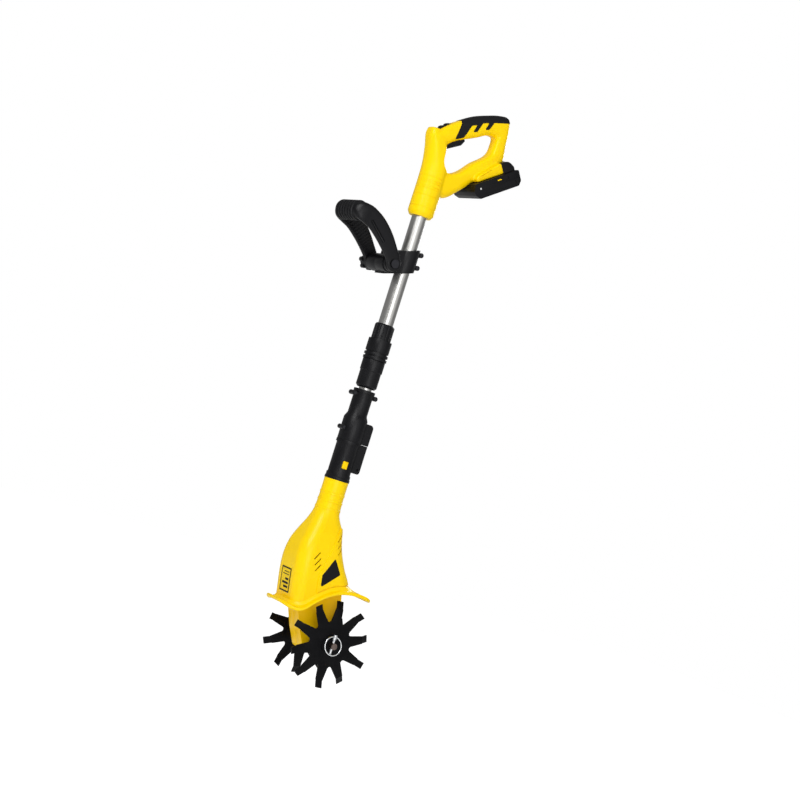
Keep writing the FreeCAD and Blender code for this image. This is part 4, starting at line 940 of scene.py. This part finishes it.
# Outlines on the pack's side: place along the pack, height above its floor, corner radius.
PACK_PANEL = ((10.0, 5.0, 2.0), (84.0, 5.0, 2.0), (84.0, 13.5, 2.0), (10.0, 13.5, 2.0))
PACK_SLOT = ((30.0, 19.0, 1.5), (72.0, 19.0, 1.5), (68.0, 25.0, 1.5), (34.0, 25.0, 1.5))
PACK_MARK = ((44.0, 21.2, 0.8), (55.0, 21.2, 0.8), (53.0, 23.2, 0.8), (46.0, 23.2, 0.8))
# Place along the pack and height of a small white dome that is a painted highlight, then its profile.
PACK_GLINT_AT = (5.0, 18.0)
PACK_GLINT = ((-0.6, 0.4), (0.25, 0.4), (0.45, 1.0), (0.25, 1.7), (-0.6, 1.7))
SOCKET_RISE = 0.55   # closes most of the 0.6 mm joint under the coupler


def merged(node):
    """A copy of a frame node's mesh, welded and freed of the lines across its flat faces."""
    shape = bmesh.new()
    shape.from_mesh(NODES[node].data)
    bmesh.ops.remove_doubles(shape, verts=shape.verts, dist=0.002 * MM)
    bmesh.ops.dissolve_limit(shape, angle_limit=math.radians(1.0), verts=shape.verts, edges=shape.edges)
    return shape


def on_front(y0, y1, z0, z1, stands=0.35, sinks=0.3):
    """A thin patch that follows the front of the head, from a depth under its skin to a height over it."""
    patch = combined(box(-130.0, -75.0, y0, y1, z0, z1), housing(-stands), "INTERSECT")
    return combined(patch, housing(sinks))


class TILLER_OT_label(bpy.types.Operator):
    """Makes the framed label on the head: a film with a black frame and plain bars"""
    bl_idname = "tiller.label"
    bl_label = "Label"

    def execute(self, context):
        z0, z1, half = LABEL_PLACE
        piece("label_sheet", on_front(-half, half, z0, z1), "label_film", "head", ["label_plate"])
        low, high = z0 + FRAME_LINE, z1 - FRAME_LINE
        strips = [(-half, half, z0, low), (-half, half, high, z1), (-half, -half + FRAME_LINE, low, high),
                  (half - FRAME_LINE, half, low, high), *LABEL_BARS]
        marks = [on_front(*strip, stands=0.45, sinks=0.2) for strip in strips]
        piece("label_print", joined(*marks), "label_ink", "head")
        return {"FINISHED"}


class TILLER_OT_battery(bpy.types.Operator):
    """Makes the battery pack's two case halves with rounded edges, side panels, a yellow mark and a white dot
    on each side that is a painted highlight
    """
    bl_idname = "tiller.battery"
    bl_label = "Battery pack"

    def execute(self, context):
        lower = rounded_edges(merged("battery_lower_case"), 1.2, 3)
        upper = rounded_edges(merged("battery_upper_case"), 1.0, 3)
        for side in (-1, 1):
            past = side * (PACK_HALF + 5.0)
            lower = combined(lower, prism(on_pack(PACK_PANEL), side * (PACK_HALF - 0.8), past))
            upper = combined(upper, prism(on_pack(PACK_SLOT), side * (PACK_HALF - 0.9), past))
        piece("pack_lower_half", lower, "black_gloss", "battery", ["battery_lower_case"])
        piece("pack_upper_half", upper, "black_gloss", "battery", ["battery_upper_case"])
        for side, name in SIDES:
            mark = prism(on_pack(PACK_MARK), side * (PACK_HALF - 1.3), side * (PACK_HALF - 0.2))
            piece("pack_mark_" + name, rounded_edges(mark, 0.25, 2), "deep_yellow", "battery")
            # A small white dome on each side of the pack: a painted highlight.
            x, z = along(*PACK_GLINT_AT)
            dot = turned(PACK_GLINT, (x, side * (PACK_HALF - 0.1), z), (0, side, 0), 32)
            bmesh.ops.holes_fill(dot, edges=dot.edges)
            piece("pack_glint_" + name, dot, "white_dot", "battery")
        return {"FINISHED"}


class TILLER_OT_tines(bpy.types.Operator):
    """Makes the two tine wheels with the soft edges of punched and coated steel"""
    bl_idname = "tiller.tines"
    bl_label = "Tine wheels"

    def execute(self, context):
        for name in ("left", "right"):
            wheel = rounded_edges(merged("tine_wheel_" + name), 0.5, 2)
            piece("tine_disc_" + name, wheel, "tine_steel", "tines", ["tine_wheel_" + name])
        return {"FINISHED"}


MOULDINGS = (  # frame node, piece, body, finish, rounding in millimetres; * stands for left, then right
    # The gear case's finish is a deeper yellow that paints shade on it.
    ("gear_case_*", "gearbox_half_*", "head", "yellow_case", 1.5),
    ("clamp_*", "clamp_half_*", "aux_clamp", "black_nylon", 0.8),
    ("star_knob", "clamp_knob", "knob", "black_nylon", 1.0),
    ("lock_twist_sleeve", "lock_sleeve", "lock_sleeve", "black_nylon", 0.8),
    ("lock_body", "lock_barrel", "handle", "black_nylon", 0.8),
    ("coupler_shell_*", "coupler_half_*", "lower_pole", "black_nylon", 0.8),
    ("socket_shell_*", "socket_half_*", "head", "black_nylon", 0.6),
    ("neck_ring", "neck_collar", "head", "black_nylon", 0.5),
    ("trigger", "trigger_lever", "trigger", "black_gloss", 1.2),
    ("lock_off_button", "lock_off_key", "lock_off", "black_nylon", 1.2),
    ("battery_latch", "latch_key", "battery_latch", "black_nylon", 0.8),
)


class TILLER_OT_mouldings(bpy.types.Operator):
    """Makes the smaller mouldings: gear case halves, couplers, clamp, knob, lock, trigger and buttons"""
    bl_idname = "tiller.mouldings"
    bl_label = "Small mouldings"

    def execute(self, context):
        for nodes, names, body, material, width in MOULDINGS:
            for side in ("left", "right") if "*" in nodes else ("",):
                node, name = nodes.replace("*", side), names.replace("*", side)
                shape = merged(node)
                if node.startswith("socket_shell"):
                    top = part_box(node)[1].z
                    for vert in shape.verts:
                        if vert.co.z > top - 0.1 * MM:
                            vert.co.z += SOCKET_RISE * MM
                piece(name, rounded_edges(shape, width), material, body, [node])
        piece("release_key", rounded_edges(merged("release_button"), 1.6, 4), "deep_yellow", "button",
              ["release_button"])
        return {"FINISHED"}


# ---------------------------------------------------------------- stage
def lamp(name, place, aim, size, power):
    """A round area lamp that points at a place."""
    data = bpy.data.lights.new(name, "AREA")
    data.shape = "DISK"
    data.size = size
    data.energy = power
    made = bpy.data.objects.new(name, data)
    made.location = place
    made.rotation_euler = (Vector(aim) - Vector(place)).to_track_quat("-Z", "Y").to_euler()
    bpy.context.scene.collection.objects.link(made)


SOFTBOX = (0.1, -0.995, 0.0)   # way to the white screen that shines in glossy skins
SURROUND = 0.3                 # brightness of the room round it
FLOOR_HALF = 6.0
FLOOR_DROP = 0.3               # room for the pole drawn out and the head off its coupler


def seen_as_paper(tree, shader):
    """Shows the world white to the camera, as a broad white screen in a dimmer room to reflections,
    and as the given shader to all other light."""
    path = add(tree, "LightPath")
    white = add(tree, "Background", {"Color": linear("#FFFFFF"), "Strength": 1.0})
    way = add(tree, "TexCoord").outputs["Generated"]
    facing = add(tree, "VectorMath", {0: way, 1: SOFTBOX}, operation="DOT_PRODUCT")
    screen = add(tree, "MapRange", {"Value": facing.outputs["Value"], "From Min": 0.72, "From Max": 0.93,
                                    "To Min": SURROUND, "To Max": 1.0})
    room = add(tree, "Background", {"Color": linear("#FFFFFF"), "Strength": screen.outputs["Result"]})
    glossy = add(tree, "Math", {0: path.outputs["Is Glossy Ray"], 1: path.outputs["Is Transmission Ray"]},
                 operation="MAXIMUM")
    seen = add(tree, "MixShader", {0: glossy.outputs[0], 1: shader, 2: room.outputs[0]})
    return add(tree, "MixShader", {0: path.outputs["Is Camera Ray"], 1: seen.outputs[0], 2: white.outputs[0]})


class TILLER_OT_stage(bpy.types.Operator):
    """Sets up the camera, the lamps, the world and the floor"""
    bl_idname = "tiller.stage"
    bl_label = "Stage"

    def execute(self, context):
        scene = context.scene
        data = bpy.data.cameras.new("camera")
        data.sensor_width = 36.0
        data.lens = scene.tiller_sizes.lens
        camera = bpy.data.objects.new("camera", data)
        camera.location = CAMERA_AT
        camera.rotation_euler = Euler(CAMERA_TURN, "XYZ")
        scene.collection.objects.link(camera)
        scene.camera = camera
        scene.view_settings.view_transform = "Standard"

        centre = (-0.05, 0.0, 0.5)
        lamp("key", (-1.6, -1.2, 1.8), centre, 1.3, 29.0)
        lamp("fill", (-0.8, -2.4, 0.6), centre, 1.6, 16.0)
        lamp("rim", (1.3, 1.0, 1.5), centre, 1.0, 18.0)

        world = bpy.data.worlds.new("studio")
        tree = emptied(world)
        dim = add(tree, "Background", {"Color": linear("#FFFFFF"), "Strength": 0.45})
        shown = seen_as_paper(tree, dim.outputs[0])
        add(tree, "OutputWorld", {"Surface": shown.outputs[0]})
        scene.world = world

        mesh = bpy.data.meshes.new("floor")
        shape = bmesh.new()
        bmesh.ops.create_grid(shape, x_segments=1, y_segments=1, size=FLOOR_HALF,
                              matrix=Matrix.Translation((0, 0, CAD_BOX[0][2] - FLOOR_DROP)))
        shape.to_mesh(mesh)
        shape.free()
        floor = bpy.data.objects.new("floor", mesh)
        scene.collection.objects.link(floor)
        material = bpy.data.materials.new("paper_floor")
        tree = emptied(material)
        paper = add(tree, "BsdfDiffuse", {"Color": linear(scene.tiller_colours.paper)})
        glow = add(tree, "Emission", {"Color": linear("#FFFFFF"), "Strength": 0.62})
        path = add(tree, "LightPath")
        lit = add(tree, "MixShader", {0: path.outputs["Is Camera Ray"], 1: paper.outputs[0]})
        both = add(tree, "AddShader", {0: paper.outputs[0], 1: glow.outputs[0]})
        tree.links.new(both.outputs[0], lit.inputs[2])
        add(tree, "OutputMaterial", {"Surface": lit.outputs[0]})
        mesh.materials.append(material)
        return {"FINISHED"}


class TILLER_OT_frame(bpy.types.Operator):
    """Gives every node of the frame its own finish"""
    bl_idname = "tiller.frame"
    bl_label = "Frame finishes"

    def execute(self, context):
        make_materials(context.scene.tiller_colours)
        for entry in frame["record"]["subparts"]:
            dress(entry["node"], MATERIALS[entry["material_slot"]])
        return {"FINISHED"}


OPERATORS = (TILLER_OT_stage, TILLER_OT_frame, TILLER_OT_head, TILLER_OT_guard,
             TILLER_OT_handle, TILLER_OT_front_handle, TILLER_OT_label, TILLER_OT_battery, TILLER_OT_tines,
             TILLER_OT_mouldings)


class TILLER_PT_panel(bpy.types.Panel):
    """Lists the steps that dress the tiller"""
    bl_idname = "TILLER_PT_panel"
    bl_label = "Garden Tiller"
    bl_space_type = "VIEW_3D"
    bl_region_type = "UI"
    bl_category = "Tiller"

    def draw(self, context):
        for group in (context.scene.tiller_colours, context.scene.tiller_sizes):
            for name in group.bl_rna.properties.keys():
                if name not in ("rna_type", "name"):
                    self.layout.prop(group, name)
        for operator in OPERATORS:
            self.layout.operator(operator.bl_idname)


CLASSES = (TillerColours, TillerSizes, *OPERATORS, TILLER_PT_panel)


def register():
    for cls in CLASSES:
        bpy.utils.register_class(cls)
    bpy.types.Scene.tiller_colours = bpy.props.PointerProperty(type=TillerColours)
    bpy.types.Scene.tiller_sizes = bpy.props.PointerProperty(type=TillerSizes)


def unregister():
    del bpy.types.Scene.tiller_sizes
    del bpy.types.Scene.tiller_colours
    for cls in reversed(CLASSES):
        bpy.utils.unregister_class(cls)


def main():
    register()
    for operator in OPERATORS:
        getattr(bpy.ops.tiller, operator.bl_idname.split(".")[1])()


if __name__ == "__main__":
    main()
